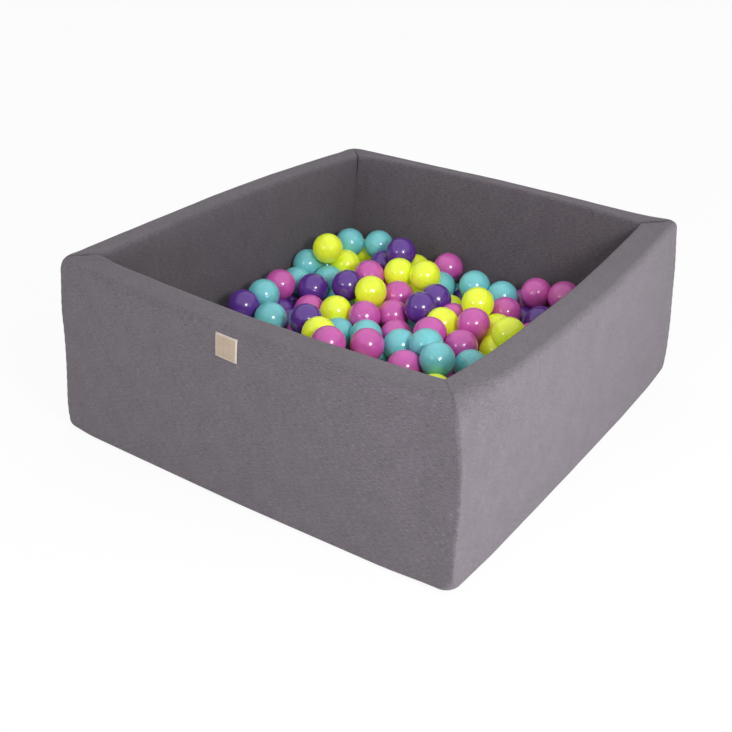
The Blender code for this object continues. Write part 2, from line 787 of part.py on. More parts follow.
def make_balls(collection, cutters, materials, plain):
    ball = Faceted()
    places, colors, loose = heap_of_balls(ball)
    for number, index in enumerate(sorted(loose, key=lambda item: -places[item, 1]), 1):
        mesh = ball.mesh(f"ball_{number:02d}")
        mesh.materials.append(materials[colors[index]])
        obj = bpy.data.objects.new(f"ball_{number:02d}", mesh)
        obj.location = places[index]
        collection.objects.link(obj)

    heap = bmesh.new()
    for index in range(len(places)):
        if index in loose:
            continue
        new = bmesh.ops.create_icosphere(heap, subdivisions=2, radius=ball.radius)
        bmesh.ops.translate(heap, vec=places[index], verts=new["verts"])
    joined = object_from(heap, "bed_balls", plain, cutters)
    make_hidden(joined)
    core = box_mesh(
        (CORE_INSET - INNER_X, CORE_INSET - INNER_Y, FLOOR_TOP + GAP),
        (INNER_X - CORE_INSET, INNER_Y - CORE_INSET, CORE_TOP),
    )
    bed = object_from(core, "ball_bed", plain, collection)
    add_boolean(bed, "Balls", "UNION", joined)
    bed.modifiers["Balls"].use_self = True


def main():
    clear_scene()
    collection = new_collection("ball_pit")
    cutters = new_collection("cutters")
    foam = make_material("foam", (0.85, 0.83, 0.76), 0.9)
    cloth = make_material("melange_knit", (0.165, 0.145, 0.165), 0.9)
    base = make_material("base_cloth", (0.05, 0.05, 0.055), 0.85)
    tape = make_material("zip_tape", (0.10, 0.09, 0.10), 0.8)
    coil = make_material("zip_coil", (0.12, 0.11, 0.12), 0.4)
    metal = make_material("zip_metal", (0.45, 0.45, 0.47), 0.3, 1.0)
    leather = make_material("tag_leather", (0.50, 0.39, 0.27), 0.6)
    thread = make_material("tag_thread", (0.55, 0.45, 0.33), 0.7)
    plain = make_material("ball_bed", (0.30, 0.25, 0.35), 0.4)
    balls = {
        "turquoise": make_material("ball_turquoise", (0.12, 0.50, 0.50), 0.25),
        "violet": make_material("ball_violet", (0.09, 0.03, 0.28), 0.25),
        "pink": make_material("ball_pink", (0.58, 0.08, 0.38), 0.25),
        "lime": make_material("ball_lime", (0.72, 0.85, 0.03), 0.25),
    }
    covers = make_walls(collection, foam, cloth)
    make_floor(collection, cutters, foam, cloth, base)
    make_webs(collection, cloth)
    make_zip(collection, cutters, tape, coil, metal, covers["back"])
    make_tag(collection, leather, thread)
    make_balls(collection, cutters, balls, plain)


main()
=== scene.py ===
import math
import random

import bmesh
import bpy
import numpy as np
from mathutils import Matrix, Vector
from mathutils.bvhtree import BVHTree


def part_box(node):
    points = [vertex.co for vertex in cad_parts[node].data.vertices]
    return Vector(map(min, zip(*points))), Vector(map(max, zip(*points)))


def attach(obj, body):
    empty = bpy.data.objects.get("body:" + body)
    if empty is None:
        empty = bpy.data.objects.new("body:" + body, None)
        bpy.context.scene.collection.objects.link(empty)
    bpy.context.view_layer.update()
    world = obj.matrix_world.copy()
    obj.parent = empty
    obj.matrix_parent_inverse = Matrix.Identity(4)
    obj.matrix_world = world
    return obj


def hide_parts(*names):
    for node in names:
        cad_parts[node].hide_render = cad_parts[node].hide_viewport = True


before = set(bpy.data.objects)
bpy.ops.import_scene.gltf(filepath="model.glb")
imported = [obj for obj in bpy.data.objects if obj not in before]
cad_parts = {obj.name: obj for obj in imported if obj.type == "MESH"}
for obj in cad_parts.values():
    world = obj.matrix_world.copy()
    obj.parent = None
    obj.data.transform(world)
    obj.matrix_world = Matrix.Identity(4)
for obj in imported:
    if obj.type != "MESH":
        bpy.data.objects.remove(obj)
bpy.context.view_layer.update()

# Lengths are in metres, and the same as in the CAD part where they have the same name
WIDTH = 0.900
DEPTH = 0.920
HEIGHT = 0.360
WALL = 0.066
FLOOR_PAD = 0.050
BASE_CLOTH = 0.0020
GAP = 0.0003
BOTTOM_ROUND = 0.007
WEB = 0.0012
WEB_TOP_DROP = 0.055
WEB_BOTTOM_RISE = 0.006
WEB_INSET = 0.009
PAD_ROUND = 0.008
PAD_CORNER_ROUND = 0.012
BASE_EDGE = 0.018
BASE_CORNER_ROUND = 0.050
LEAN_START = 0.062

# How far out each wall's rim stands: at its corner of lower x or y, in its middle and at its
# other corner, and with which powers it goes from the middle to the two
RIMS = {
    "left": (0.0125, 0.018, -0.019, 2.0, 1.8),
    "right": (-0.005, 0.0105, -0.016, 5.0, 1.4),
    "back": (0.015, 0.0240, 0.001, 3.0, 1.5),
    "front": (-0.023, 0.0035, -0.006, 1.3, 3.0),
}

# The same for its foot
FEET = {
    "left": (0.0145, 0.000, 0.000, 4.0, 2.0),
    "right": (-0.0015, 0.0003, -0.0050, 1.1, 3.0),
    "back": (0.000, 0.000, 0.000, 2.0, 2.0),
    "front": (0.003, 0.004, -0.005, 2.0, 1.1),
}

# How high above the ground that reaches
FOOT_HEIGHTS = {"left": 0.230, "right": 0.150, "back": 0.150, "front": 0.150}

# The same a little over halfway up, and how that goes with height
BELLIES = {
    "left": (0.000, 0.000, 0.000, 2.0, 2.0),
    "right": (0.0055, 0.000, -0.0025, 6.0, 4.0),
    "back": (0.000, 0.000, 0.000, 2.0, 2.0),
    "front": (0.000, 0.000, -0.006, 2.0, 6.0),
}
BELLY_RISE = 1.4
BELLY_POWER = 1.5

# The photograph's camera
CAMERA = np.array([1.0837, -1.5655, 1.1412])
CAMERA_YAW = -0.5885
CAMERA_PITCH = 0.5025
CAMERA_ROLL = 0.0148
FOCAL_PX = 1039.0
CENTRE_U_PX = 400.0
CENTRE_V_PX = 360.0
PICTURE_PX = 732
SENSOR_MM = 36.0

# Pixel of the middle of each ball that the photograph shows whole, or nearly so, by colour
WHOLE_PX = {
    "turquoise": (
        (350.5, 241.9), (377.3, 245.2), (306.4, 265.1), (328.8, 278.4), (440.6, 286.5), (475.0, 286.5),
        (501.5, 293.7), (263.8, 293.7), (270.7, 318.4), (340.8, 332.4), (366.6, 336.3), (401.0, 345.2),
        (425.8, 343.9), (436.7, 358.7), (470.9, 362.3),
    ),
    "violet": (
        (401.0, 251.6), (347.7, 284.5), (312.5, 291.1), (243.4, 304.4), (436.5, 300.6), (424.0, 309.5),
        (305.9, 319.7),
    ),
    "pink": (
        (369.4, 274.3), (451.3, 270.7), (536.7, 292.9), (541.8, 309.5), (281.1, 287.3), (399.2, 291.6),
        (505.6, 308.2), (474.2, 325.3), (363.3, 315.9), (393.1, 315.9), (328.1, 338.8), (367.3, 345.2),
        (428.8, 331.9), (461.5, 338.8), (405.4, 364.3),
    ),
    "lime": (
        (327.8, 244.2), (365.3, 255.4), (345.4, 260.3), (399.2, 273.3), (422.7, 278.4), (370.9, 292.1),
        (477.6, 304.9), (334.7, 313.3), (318.6, 328.6), (441.1, 323.5), (495.9, 328.6), (508.7, 334.2),
    ),
}

# Pixel of the middle of each ball that lies lower, partly behind others
PARTLY_PX = {
    "turquoise": (
        (325.5, 264.1), (296.9, 282.7), (455.1, 296.2), (339.8, 301.8), (374.7, 356.7), (410.5, 328.6),
    ),
    "violet": (
        (384.2, 264.1), (462.8, 300.6), (474.2, 314.6), (523.5, 322.2), (289.3, 305.7), (280.4, 312.0),
        (452.6, 375.8), (288.0, 323.5),
    ),
    "pink": (
        (563.5, 296.7), (387.5, 284.0), (522.7, 304.4), (309.7, 309.5), (302.0, 332.4), (395.2, 335.0),
        (452.6, 317.1), (483.2, 345.2), (456.4, 350.3), (439.0, 377.1),
    ),
    "lime": (
        (415.6, 268.7), (418.1, 292.9), (353.1, 301.8), (379.8, 305.7), (450.0, 309.5), (495.9, 349.0),
    ),
}

# Where each wall stands: the turn from the front wall, its length, and how far its face is from
# the middle
SIDES = {
    "front": (0.0, WIDTH, DEPTH / 2),
    "right": (math.pi / 2, DEPTH, WIDTH / 2),
    "back": (math.pi, WIDTH, DEPTH / 2),
    "left": (-math.pi / 2, DEPTH, WIDTH / 2),
}

# The corners of a square and of the pit, in turn, by their signs in x and y
CORNER_SIGNS = {
    "front_left": (-1, -1),
    "front_right": (1, -1),
    "back_right": (1, 1),
    "back_left": (-1, 1),
}

# What each corner shows: how wide its seam opens at the top, where across the wall that is and
# how far to either side it reaches, as shares of the wall, how far down it reaches, how round the
# covers' edges are beside it, how round the corner is in plan at its rim, down its side and at
# its foot, how round its top edge is, how high it stands, and how far from it the walls change
CORNER_SIZES = (
    "slit", "widest", "spread", "reach", "edge", "rim", "side", "foot", "top", "ear", "along",
)
CORNER_ROWS = {
    (-1, -1): (0.0032, 0.52, 0.50, 0.016, 0.0020, 0.042, 0.024, 0.028, 0.024, 0.0035, 0.085),
    (1, -1): (0.0000, 0.50, 0.50, 0.030, 0.0004, 0.010, 0.004, 0.030, 0.031, 0.0000, 0.150),
    (1, 1): (0.0048, 0.62, 0.50, 0.040, 0.0026, 0.032, 0.010, 0.014, 0.012, 0.0005, 0.085),
    (-1, 1): (0.0011, 1.00, 0.70, 0.072, 0.0018, 0.040, 0.010, 0.010, 0.018, -0.0010, 0.085),
}
CORNERS = {signs: dict(zip(CORNER_SIZES, row)) for signs, row in CORNER_ROWS.items()}

# How round the covers' edges are beside a seam below its opening
SEWN_EDGE = 0.0005

# How far from the rim and from the ground a corner's roundness in plan changes
RIM_REACH = 0.120
FOOT_REACH = 0.050

# By how much the outer edge of each wall's top lies lower than its inner edge
TILTS = {"front": 0.0, "right": 0.0, "back": 0.012, "left": 0.003}

# How round the top edges of each wall are away from its corners, outside and inside
TOPS = {
    "front": (0.015, 0.009),
    "right": (0.011, 0.009),
    "back": (0.016, 0.007),
    "left": (0.016, 0.008),
}

# The balls, and the ridge that their mould's seam leaves
BALL = 0.070
BALL_TURNS = 48
BALL_ROWS = 26
SEAM_RIDGE = 0.00022
SEAM_RIDGE_HALF = 0.0007

# How far out the points of the CAD's faceted balls are, the cell in which votes for a ball's
# middle count together, and how many votes it takes
FACETED_RADIUS = 0.0366146
VOTE_CELL = 0.0005
LEAST_VOTES = 10

# How far from a photographed ball's middle its own ball may be seen, what a partly hidden one
# counts as further off, and what each metre from the camera does
MATCH_PX = 10.0
PARTLY_COST_PX = MATCH_PX / 4
FAR_COST_PX = 3.0

SEED = 11
RADIUS = BALL / 2
GROUND = BASE_CLOTH + GAP
SEAM_HALF_GAP = WEB / 2 + GAP
INNER_X = WIDTH / 2 - WALL
INNER_Y = DEPTH / 2 - WALL


# Nodes and materials


class Nodes:
    """The nodes of a material or a world; inputs are values or other nodes' outputs."""

    def __init__(self, owner):
        owner.use_nodes = True
        self.owner = owner
        self.tree = owner.node_tree
        self.tree.nodes.clear()

    def fill(self, socket, value):
        if isinstance(value, bpy.types.NodeSocket):
            self.tree.links.new(value, socket)
        else:
            socket.default_value = value

    def add(self, kind, inputs=None, **settings):
        node = self.tree.nodes.new(kind)
        for name, value in settings.items():
            setattr(node, name, value)
        for key, value in (inputs or {}).items():
            self.fill(node.inputs[key], value)
        return node

    def calc(self, operation, *values):
        return self.add("ShaderNodeMath", dict(enumerate(values)), operation=operation).outputs[0]

    def plus(self, *values):
        return self.calc("ADD", *values)

    def times(self, *values):
        return self.calc("MULTIPLY", *values)

    def mix(self, share, low, high, **settings):
        """Two colours mixed by a share."""
        inputs = {0: share, 6: low, 7: high}
        return self.add("ShaderNodeMix", inputs, data_type="RGBA", **settings).outputs[2]

    def span(self, value, low, high, to_low=0.0, to_high=1.0):
        """A value's place between low and high, mapped to another span."""
        inputs = {0: value, 1: low, 2: high, 3: to_low, 4: to_high}
        return self.add("ShaderNodeMapRange", inputs).outputs[0]

    def own_place(self):
        """A place on the piece, whatever its turn."""
        return self.add("ShaderNodeTexCoord").outputs["Object"]

    def cloth_place(self):
        """A place along and across the cloth."""
        return self.add("ShaderNodeUVMap", uv_map="cloth").outputs[0]

    def noise(self, place, scale, detail, dimensions="3D"):
        inputs = {"Vector": place, "Scale": scale, "Detail": detail}
        return self.add("ShaderNodeTexNoise", inputs, noise_dimensions=dimensions).outputs[0]

    def bump(self, strength, distance, height):
        inputs = {"Strength": strength, "Distance": distance, "Height": height}
        return self.add("ShaderNodeBump", inputs).outputs[0]

    def finish(self, **inputs):
        named = {name.replace("_", " "): value for name, value in inputs.items()}
        shader = self.add("ShaderNodeBsdfPrincipled", named)
        self.add("ShaderNodeOutputMaterial", {"Surface": shader.outputs[0]})
        return self.owner


def new_finish(name):
    return Nodes(bpy.data.materials.new(name))


def opaque(color, level=1.0):
    """A colour for a node, made darker or lighter by a level."""
    return (*(c * level for c in color), 1.0)


# Knit: the width and height of a stitch, and the three yarn colours that are spun together
STITCH_WIDTH = 0.0019
STITCH_HEIGHT = 0.0014
YARN_DARK = (0.063, 0.053, 0.064)
YARN_MIDDLE = (0.125, 0.108, 0.127)
YARN_LIGHT = (0.235, 0.213, 0.238)
KNIT_BUMP = 0.0004

# How many of the yarn's changes of colour there are in a metre along and across the cloth, and
# how much of its colour changes from stitch to stitch instead
YARN_RUNS = (95.0, 720.0, 1.0)
FLECK_SHARE = 0.25

# Where the tag's crease is, from minus one at its left edge to one
HIDE_CREASE = -0.16


def knit(name):
    """A melange jersey whose stitches follow the cloth's own length and width."""
    f = new_finish(name)
    place = f.cloth_place()
    flat = f.add("ShaderNodeSeparateXYZ", {0: place})
    wale = f.calc("DIVIDE", flat.outputs[0], STITCH_WIDTH)
    course = f.calc("DIVIDE", flat.outputs[1], STITCH_HEIGHT)
    across = f.calc("ABSOLUTE", f.calc("SUBTRACT", f.calc("FRACT", wale), 0.5))
    slanted = f.plus(course, across)
    leg = f.calc("PINGPONG", f.times(across, 2.0), 0.5)
    ridge = f.calc("SINE", f.times(leg, math.pi))
    loop = f.calc("SINE", f.times(f.calc("FRACT", slanted), math.pi))
    relief = f.times(ridge, loop)

    half_wale = f.calc("FLOOR", f.times(wale, 2.0))
    cell = f.add("ShaderNodeCombineXYZ", {0: half_wale, 1: f.calc("FLOOR", slanted)}).outputs[0]
    fleck = f.add("ShaderNodeTexWhiteNoise", {"Vector": cell}, noise_dimensions="2D")
    run = f.add("ShaderNodeMapping", {"Vector": place, "Scale": YARN_RUNS}).outputs[0]
    fibre = f.noise(run, 1.0, 2.0, "2D")
    flecked = f.times(fleck.outputs["Value"], FLECK_SHARE)
    spin = f.plus(flecked, f.times(fibre, 1 - FLECK_SHARE))
    dark = f.mix(f.span(spin, 0.18, 0.48), opaque(YARN_DARK), opaque(YARN_MIDDLE))
    both = f.mix(f.span(spin, 0.60, 0.90), dark, opaque(YARN_LIGHT))
    # Painted shade in the hollows between the stitches' loops and painted light on their tops, on top
    # of the bump
    depth = f.span(relief, 0.0, 0.8, 0.80, 1.10)
    clouds = f.span(f.noise(place, 22.0, 3.0, "2D"), 0.3, 0.7, 0.95, 1.05)
    level = f.times(depth, clouds)
    tone = f.add("ShaderNodeCombineColor", {0: level, 1: level, 2: level}).outputs[0]
    color = f.mix(1.0, both, tone, blend_type="MULTIPLY")
    height = f.plus(relief, f.times(fibre, 0.4))
    return f.finish(
        Base_Color=color,
        Roughness=0.92,
        Specular_IOR_Level=0.25,
        Sheen_Weight=0.20,
        Sheen_Roughness=0.45,
        Sheen_Tint=(0.75, 0.72, 0.76, 1.0),
        Normal=f.bump(0.7, KNIT_BUMP, height),
    )


def plastic(name, color, painted_glow):
    """Glossy moulded plastic, faintly uneven, with a few dusty scuffs; an emission of painted light,
    no lamp, lifts its shaded side where it is set.
    """
    f = new_finish(name)
    place = f.own_place()
    uneven = f.noise(place, 38.0, 2.0)
    scuffs = f.noise(place, 420.0, 4.0)
    shine = f.span(uneven, 0.3, 0.7, 0.19, 0.21)
    return f.finish(
        Base_Color=f.mix(f.span(uneven, 0.3, 0.7), opaque(color, 0.86), opaque(color)),
        Roughness=f.plus(shine, f.span(scuffs, 0.55, 0.80, 0.0, 0.05)),
        Specular_IOR_Level=0.8,
        # The emission is painted light that lifts the shaded side, not a lamp
        Emission_Color=opaque(color),
        Emission_Strength=painted_glow,
        Normal=f.bump(0.05, 0.0006, uneven),
    )


def leather(name, color):
    """Pale hide with a fine grain, lighter towards its edges, and a faint crease with painted shade
    along it.
    """
    f = new_finish(name)
    place = f.own_place()
    pores = {"Vector": place, "Scale": 1400.0}
    grain = f.add("ShaderNodeTexVoronoi", pores, feature="DISTANCE_TO_EDGE").outputs[0]
    cloudy = f.noise(place, 60.0, 4.0)
    flat = f.add("ShaderNodeSeparateXYZ", {0: f.cloth_place()})
    across = f.calc("ABSOLUTE", flat.outputs[0])
    up = f.calc("ABSOLUTE", flat.outputs[1])
    # How near the edges a place is, give or take the clouds; the colour gets lighter there
    edge_nearness = f.plus(f.calc("MAXIMUM", across, up), f.times(cloudy, 0.10))
    crease = f.calc("ABSOLUTE", f.calc("SUBTRACT", flat.outputs[0], HIDE_CREASE))
    darker = opaque(color, 0.84)
    lighter = opaque(tuple(0.6 * c + 0.28 for c in color))
    even = f.mix(f.span(cloudy, 0.3, 0.7), darker, opaque(color))
    # Painted shade along the crease, darker in colour beside its bump
    crease_shaded = f.mix(f.span(crease, 0.0, 0.09, 0.8, 0.0), even, darker)
    base = f.mix(f.span(edge_nearness, 0.92, 1.04, 0.0, 0.8), crease_shaded, lighter)
    fold = f.span(crease, 0.0, 0.09, -0.9, 0.0)
    height = f.plus(f.plus(grain, fold), f.times(cloudy, 0.3))
    bump = f.bump(0.35, 0.0003, height)
    return f.finish(Base_Color=base, Roughness=0.6, Specular_IOR_Level=0.3, Normal=bump)


def yarn(name, color):
    """Twisted sewing thread."""
    f = new_finish(name)
    fibre = f.noise(f.own_place(), 2600.0, 3.0)
    base = f.mix(f.span(fibre, 0.35, 0.65), opaque(color, 0.65), opaque(color))
    bump = f.bump(0.5, 0.0001, fibre)
    return f.finish(Base_Color=base, Roughness=0.7, Specular_IOR_Level=0.3, Normal=bump)


def nylon(name, color):
    """The coil's smooth monofilament, a little dusty."""
    f = new_finish(name)
    dust = f.noise(f.own_place(), 700.0, 4.0)
    base = f.mix(f.span(dust, 0.45, 0.80), opaque(color), opaque(color, 1.7))
    return f.finish(Base_Color=base, Roughness=f.span(dust, 0.3, 0.7, 0.25, 0.50))


def weave(name, color, thread_width):
    """A plain weave of threads this wide."""
    f = new_finish(name)
    place = f.cloth_place()
    flat = f.add("ShaderNodeSeparateXYZ", {0: place})
    u = f.times(flat.outputs[0], math.pi / thread_width)
    v = f.times(flat.outputs[1], math.pi / thread_width)
    over = f.times(f.calc("SINE", u), f.calc("SINE", v))
    spun = f.noise(place, 300.0, 3.0, "2D")
    darker = opaque(color, 0.6)
    # Painted shade where the threads dip under each other, lighter where they cross over
    base = f.mix(f.span(over, -1.0, 1.0), darker, opaque(color))
    toned = f.mix(f.span(spun, 0.3, 0.7, 0.0, 0.35), base, darker)
    bump = f.bump(0.6, 0.0002, over)
    return f.finish(Base_Color=toned, Roughness=0.85, Specular_IOR_Level=0.25, Normal=bump)


def metal(name, color):
    """Bare metal, worn in places."""
    f = new_finish(name)
    wear = f.noise(f.own_place(), 900.0, 4.0)
    base = f.mix(f.span(wear, 0.35, 0.65), opaque(color, 0.7), opaque(color))
    return f.finish(Base_Color=base, Metallic=1.0, Roughness=f.span(wear, 0.3, 0.7, 0.25, 0.42))


# Meshes


def placed(name, data):
    """A new object of the scene that shows a mesh, lamp or camera."""
    piece = bpy.data.objects.new(name, data)
    bpy.context.scene.collection.objects.link(piece)
    return piece


def new_piece(name, points, faces, material, uvs=None):
    """A smooth mesh with its material and, for cloth, its places along and across."""
    mesh = bpy.data.meshes.new(name)
    mesh.from_pydata([tuple(p) for p in points], [], [tuple(map(int, face)) for face in faces])
    if uvs is not None:
        layer = mesh.uv_layers.new(name="cloth")
        corners = np.empty(len(mesh.loops), dtype=np.int32)
        mesh.loops.foreach_get("vertex_index", corners)
        layer.data.foreach_set("uv", np.asarray(uvs, dtype=np.float32)[corners].ravel())
    mesh.polygons.foreach_set("use_smooth", [True] * len(mesh.polygons))
    mesh.materials.append(material)
    mesh.update()
    return placed(name, mesh)


def ring_faces(rings, around):
    """The faces between closed rings of points, one ring after another."""
    faces = []
    for row in range(rings - 1):
        low, high = row * around, (row + 1) * around
        for column in range(around):
            right = (column + 1) % around
            faces.append((low + column, high + column, high + right, low + right))
    return faces


def bar_faces(rings, around):
    """The faces between closed rings of points, and those that close the first and last ring."""
    last = (rings - 1) * around
    ends = [tuple(range(around)), tuple(last + spot for spot in reversed(range(around)))]
    return ring_faces(rings, around) + ends


def turned_over(faces):
    """The same faces, looking the other way."""
    return [(face[0], *face[:0:-1]) for face in faces]


def sheet_faces(columns, rows):
    """The faces of a sheet's two sides, whose points come one side after the other, and its rim."""
    width = columns + 1
    sheet = width * (rows + 1)
    faces = []
    for row in range(rows):
        for column in range(columns):
            near = row * width + column
            far = sheet + near
            faces.append((near, near + width, near + width + 1, near + 1))
            faces.append((far, far + 1, far + width + 1, far + width))
    rim = list(range(width))
    rim += [row * width + columns for row in range(1, rows + 1)]
    rim += [rows * width + column for column in range(columns - 1, -1, -1)]
    rim += [row * width for row in range(rows - 1, 0, -1)]
    for here, there in zip(rim, rim[1:] + rim[:1]):
        faces.append((here, there, sheet + there, sheet + here))
    return faces


def joined(parts):
    """The points and faces of several parts as those of one."""
    points, faces, start = [], [], 0
    for its_points, its_faces in parts:
        points.append(its_points)
        faces.extend(tuple(i + start for i in face) for face in its_faces)
        start += len(its_points)
    return np.concatenate(points), faces


def offset(table, side, share):
    """How far out a wall stands at this share of the way along it, from minus one to one."""
    low, middle, high, low_power, high_power = table[side]
    share = np.clip(share, -1.0, 1.0)
    to_low = (middle - low) * np.abs(share) ** low_power
    to_high = (middle - high) * np.abs(share) ** high_power
    return middle - np.where(share < 0, to_low, to_high)


def leaned(points):
    """Where points of the straight-sided pit lie once its corners are round and its walls lean."""
    x, y, z = points.T
    at_rim = smooth_step((z - HEIGHT + RIM_REACH) / RIM_REACH)
    at_foot = 1 - smooth_step(z / FOOT_REACH)
    for (sign_x, sign_y), corner in CORNERS.items():
        side = corner["side"]
        turn = side + (corner["rim"] - side) * at_rim + (corner["foot"] - side) * at_foot
        over_x = sign_x * x - (WIDTH / 2 - turn)
        over_y = sign_y * y - (DEPTH / 2 - turn)
        within = (over_x > 0) & (over_y > 0)
        drawn = np.maximum(over_x, over_y) / np.where(within, np.hypot(over_x, over_y), 1.0)
        x = np.where(within, sign_x * (WIDTH / 2 - turn + over_x * drawn), x)
        y = np.where(within, sign_y * (DEPTH / 2 - turn + over_y * drawn), y)
    rise = np.clip((z - LEAN_START) / (HEIGHT - LEAN_START), 0.0, None)
    halfway = np.sin(np.clip(z / HEIGHT, 0.0, 1.0) ** BELLY_RISE * math.pi) ** BELLY_POWER
    share_x = np.clip(x / INNER_X, -1.0, 1.0)
    share_y = np.clip(y / INNER_Y, -1.0, 1.0)
    shares = {"left": share_y, "right": share_y, "back": share_x, "front": share_x}
    out = {}
    for name, share in shares.items():
        low = 1 - smooth_step(z / FOOT_HEIGHTS[name])
        out[name] = rise * offset(RIMS, name, share)
        out[name] += low * offset(FEET, name, share)
        out[name] += halfway * offset(BELLIES, name, share)
    out_x = np.where(x > 0, out["right"], out["left"])
    out_y = np.where(y > 0, out["back"], out["front"])
    return np.stack((x + share_x * out_x, y + share_y * out_y, z), axis=1)


def turned(points, turn):
    """Points turned about the vertical."""
    x, y, z = points.T
    across, along = math.cos(turn), math.sin(turn)
    return np.stack((x * across - y * along, x * along + y * across, z), axis=1)


def smooth_step(value):
    """A share that starts and ends gently."""
    value = np.clip(value, 0.0, 1.0)
    return value * value * (3 - 2 * value)


# In how many steps a wall's section goes round an edge, up a face and across half its width
ROUND_STEPS = 8
FACE_STEPS = 44
FLAT_STEPS = 6

# In how many steps its sections go along it and over each end, and how they crowd to the ends
WALL_STATIONS = 160
END_STEPS = 5
STATION_SPREAD = 1.42

# At a wall's ends its lower edge is rounder
END_BOTTOM_ROUND = 0.018

# How far each of two covers stays from their seam's middle, so that they don't meet
SEAM_TOUCH = 0.00006

# How far the cloth stands out of its flat planes: over a whole face, in slow waves, and in
# puckers at a seam
CROWN = 0.0022
WAVES = 0.0007
WAVE_COUNT = 7
WAVE_SHORTEST = 0.07
WAVE_LONGEST = 0.26
PUCKER = 0.00045
PUCKER_LENGTH = 0.021
PUCKER_REACH = 0.020

# With which powers the crown ends towards the rim and the foot, the crown, the waves and a
# top's tilt end towards a corner, and the room for a seam's round edge ends away from one
CROWN_UP_POWER = 5
CROWN_POWER = 6
WAVES_POWER = 20
TILT_POWER = 4
EDGE_POWER = 30

# Where across a wall its tilted top keeps its height
TILT_PIVOT = 0.6

# The back cover stays flat below the first height, where the zip is, and is free above the second
ZIP_FREE_LOW = 0.070
ZIP_FREE_HIGH = 0.120


def half_section(low_round, high_round):
    """One side of a wall's section, from the middle of its underside to the middle of its top.

    Each row is how far the point is from the wall's middle plane, its height, and its normal.
    """
    half = WALL / 2
    rows = []
    for step in range(FLAT_STEPS):
        rows.append(((half - low_round) * step / FLAT_STEPS, GROUND, 0.0, -1.0))
    for step in range(ROUND_STEPS):
        angle = step / ROUND_STEPS * math.pi / 2
        reach = half - low_round + low_round * math.sin(angle)
        height = GROUND + low_round * (1 - math.cos(angle))
        rows.append((reach, height, math.sin(angle), -math.cos(angle)))
    low, high = GROUND + low_round, HEIGHT - high_round
    for step in range(FACE_STEPS):
        rows.append((half, low + (high - low) * step / FACE_STEPS, 1.0, 0.0))
    for step in range(ROUND_STEPS):
        angle = step / ROUND_STEPS * math.pi / 2
        reach = half - high_round + high_round * math.cos(angle)
        rows.append((reach, high + high_round * math.sin(angle), math.cos(angle), math.sin(angle)))
    for step in range(FLAT_STEPS + 1):
        rows.append(((half - high_round) * (1 - step / FLAT_STEPS), HEIGHT, 0.0, 1.0))
    return np.array(rows)


def wall_section(side, near, corner):
    """Its depth behind the outer face, height and normal; near is 1 at the wall's ends."""
    outer_top, inner_top = TOPS[side]
    bottom = BOTTOM_ROUND + (END_BOTTOM_ROUND - BOTTOM_ROUND) * near
    outer = half_section(bottom, outer_top + (corner["top"] - outer_top) * near)
    inner = half_section(BOTTOM_ROUND, inner_top)[1:-1][::-1]
    depth = np.concatenate((WALL / 2 - outer[:, 0], WALL / 2 + inner[:, 0]))
    height = np.concatenate((outer[:, 1], inner[:, 1]))
    normal = np.concatenate((outer[:, 2:] * (-1, 1), inner[:, 2:]))
    return depth, height, normal


def distance_along(depth, height):
    """How far along the section each of its points is."""
    return np.concatenate(([0.0], np.cumsum(np.hypot(np.diff(depth), np.diff(height)))))


def slow_waves(along, around, chance):
    """Gentle unevenness of stretched cloth, between minus one and one."""
    total = np.zeros(np.broadcast(along, around).shape)
    for _ in range(WAVE_COUNT):
        length = chance.uniform(WAVE_SHORTEST, WAVE_LONGEST)
        heading = chance.uniform(0, math.pi)
        phase = chance.uniform(0, 2 * math.pi)
        ahead = along * math.cos(heading) + around * math.sin(heading)
        total += np.sin(ahead * 2 * math.pi / length + phase)
    return total / WAVE_COUNT


def corner_at(side, sign):
    """The corner at this end of a wall, by its signs in x and y."""
    turn, _, _ = SIDES[side]
    spot = turned(np.array([[sign, -1.0, 0.0]]), turn)[0]
    return tuple(1 if reach > 0 else -1 for reach in spot[:2])


def wall_stations():
    """Where along a wall its sections stand, and how far over its rounded end each one is."""
    stations = [(-1.0, 2.0)]
    stations += [(-1.0, 1.0 - step / END_STEPS) for step in range(END_STEPS)]
    for step in range(WALL_STATIONS + 1):
        place = math.sin((2 * step / WALL_STATIONS - 1) * STATION_SPREAD)
        stations.append((place / math.sin(STATION_SPREAD), 0.0))
    stations += [(1.0, (step + 1) / END_STEPS) for step in range(END_STEPS)]
    stations += [(1.0, 2.0)]
    return stations


def wall_faces(rows, count):
    """The faces round a wall, and across its two flat ends."""
    half = count // 2
    last = (rows - 1) * count
    first_end = [(0, 1, count - 1)]
    for spot in range(1, half - 1):
        first_end.append((spot, spot + 1, count - spot - 1, count - spot))
    first_end.append((half - 1, half, count - half + 1))
    faces = ring_faces(rows, count)
    for face, over in zip(first_end, turned_over(first_end)):
        faces += [face, tuple(last + spot for spot in over)]
    return faces


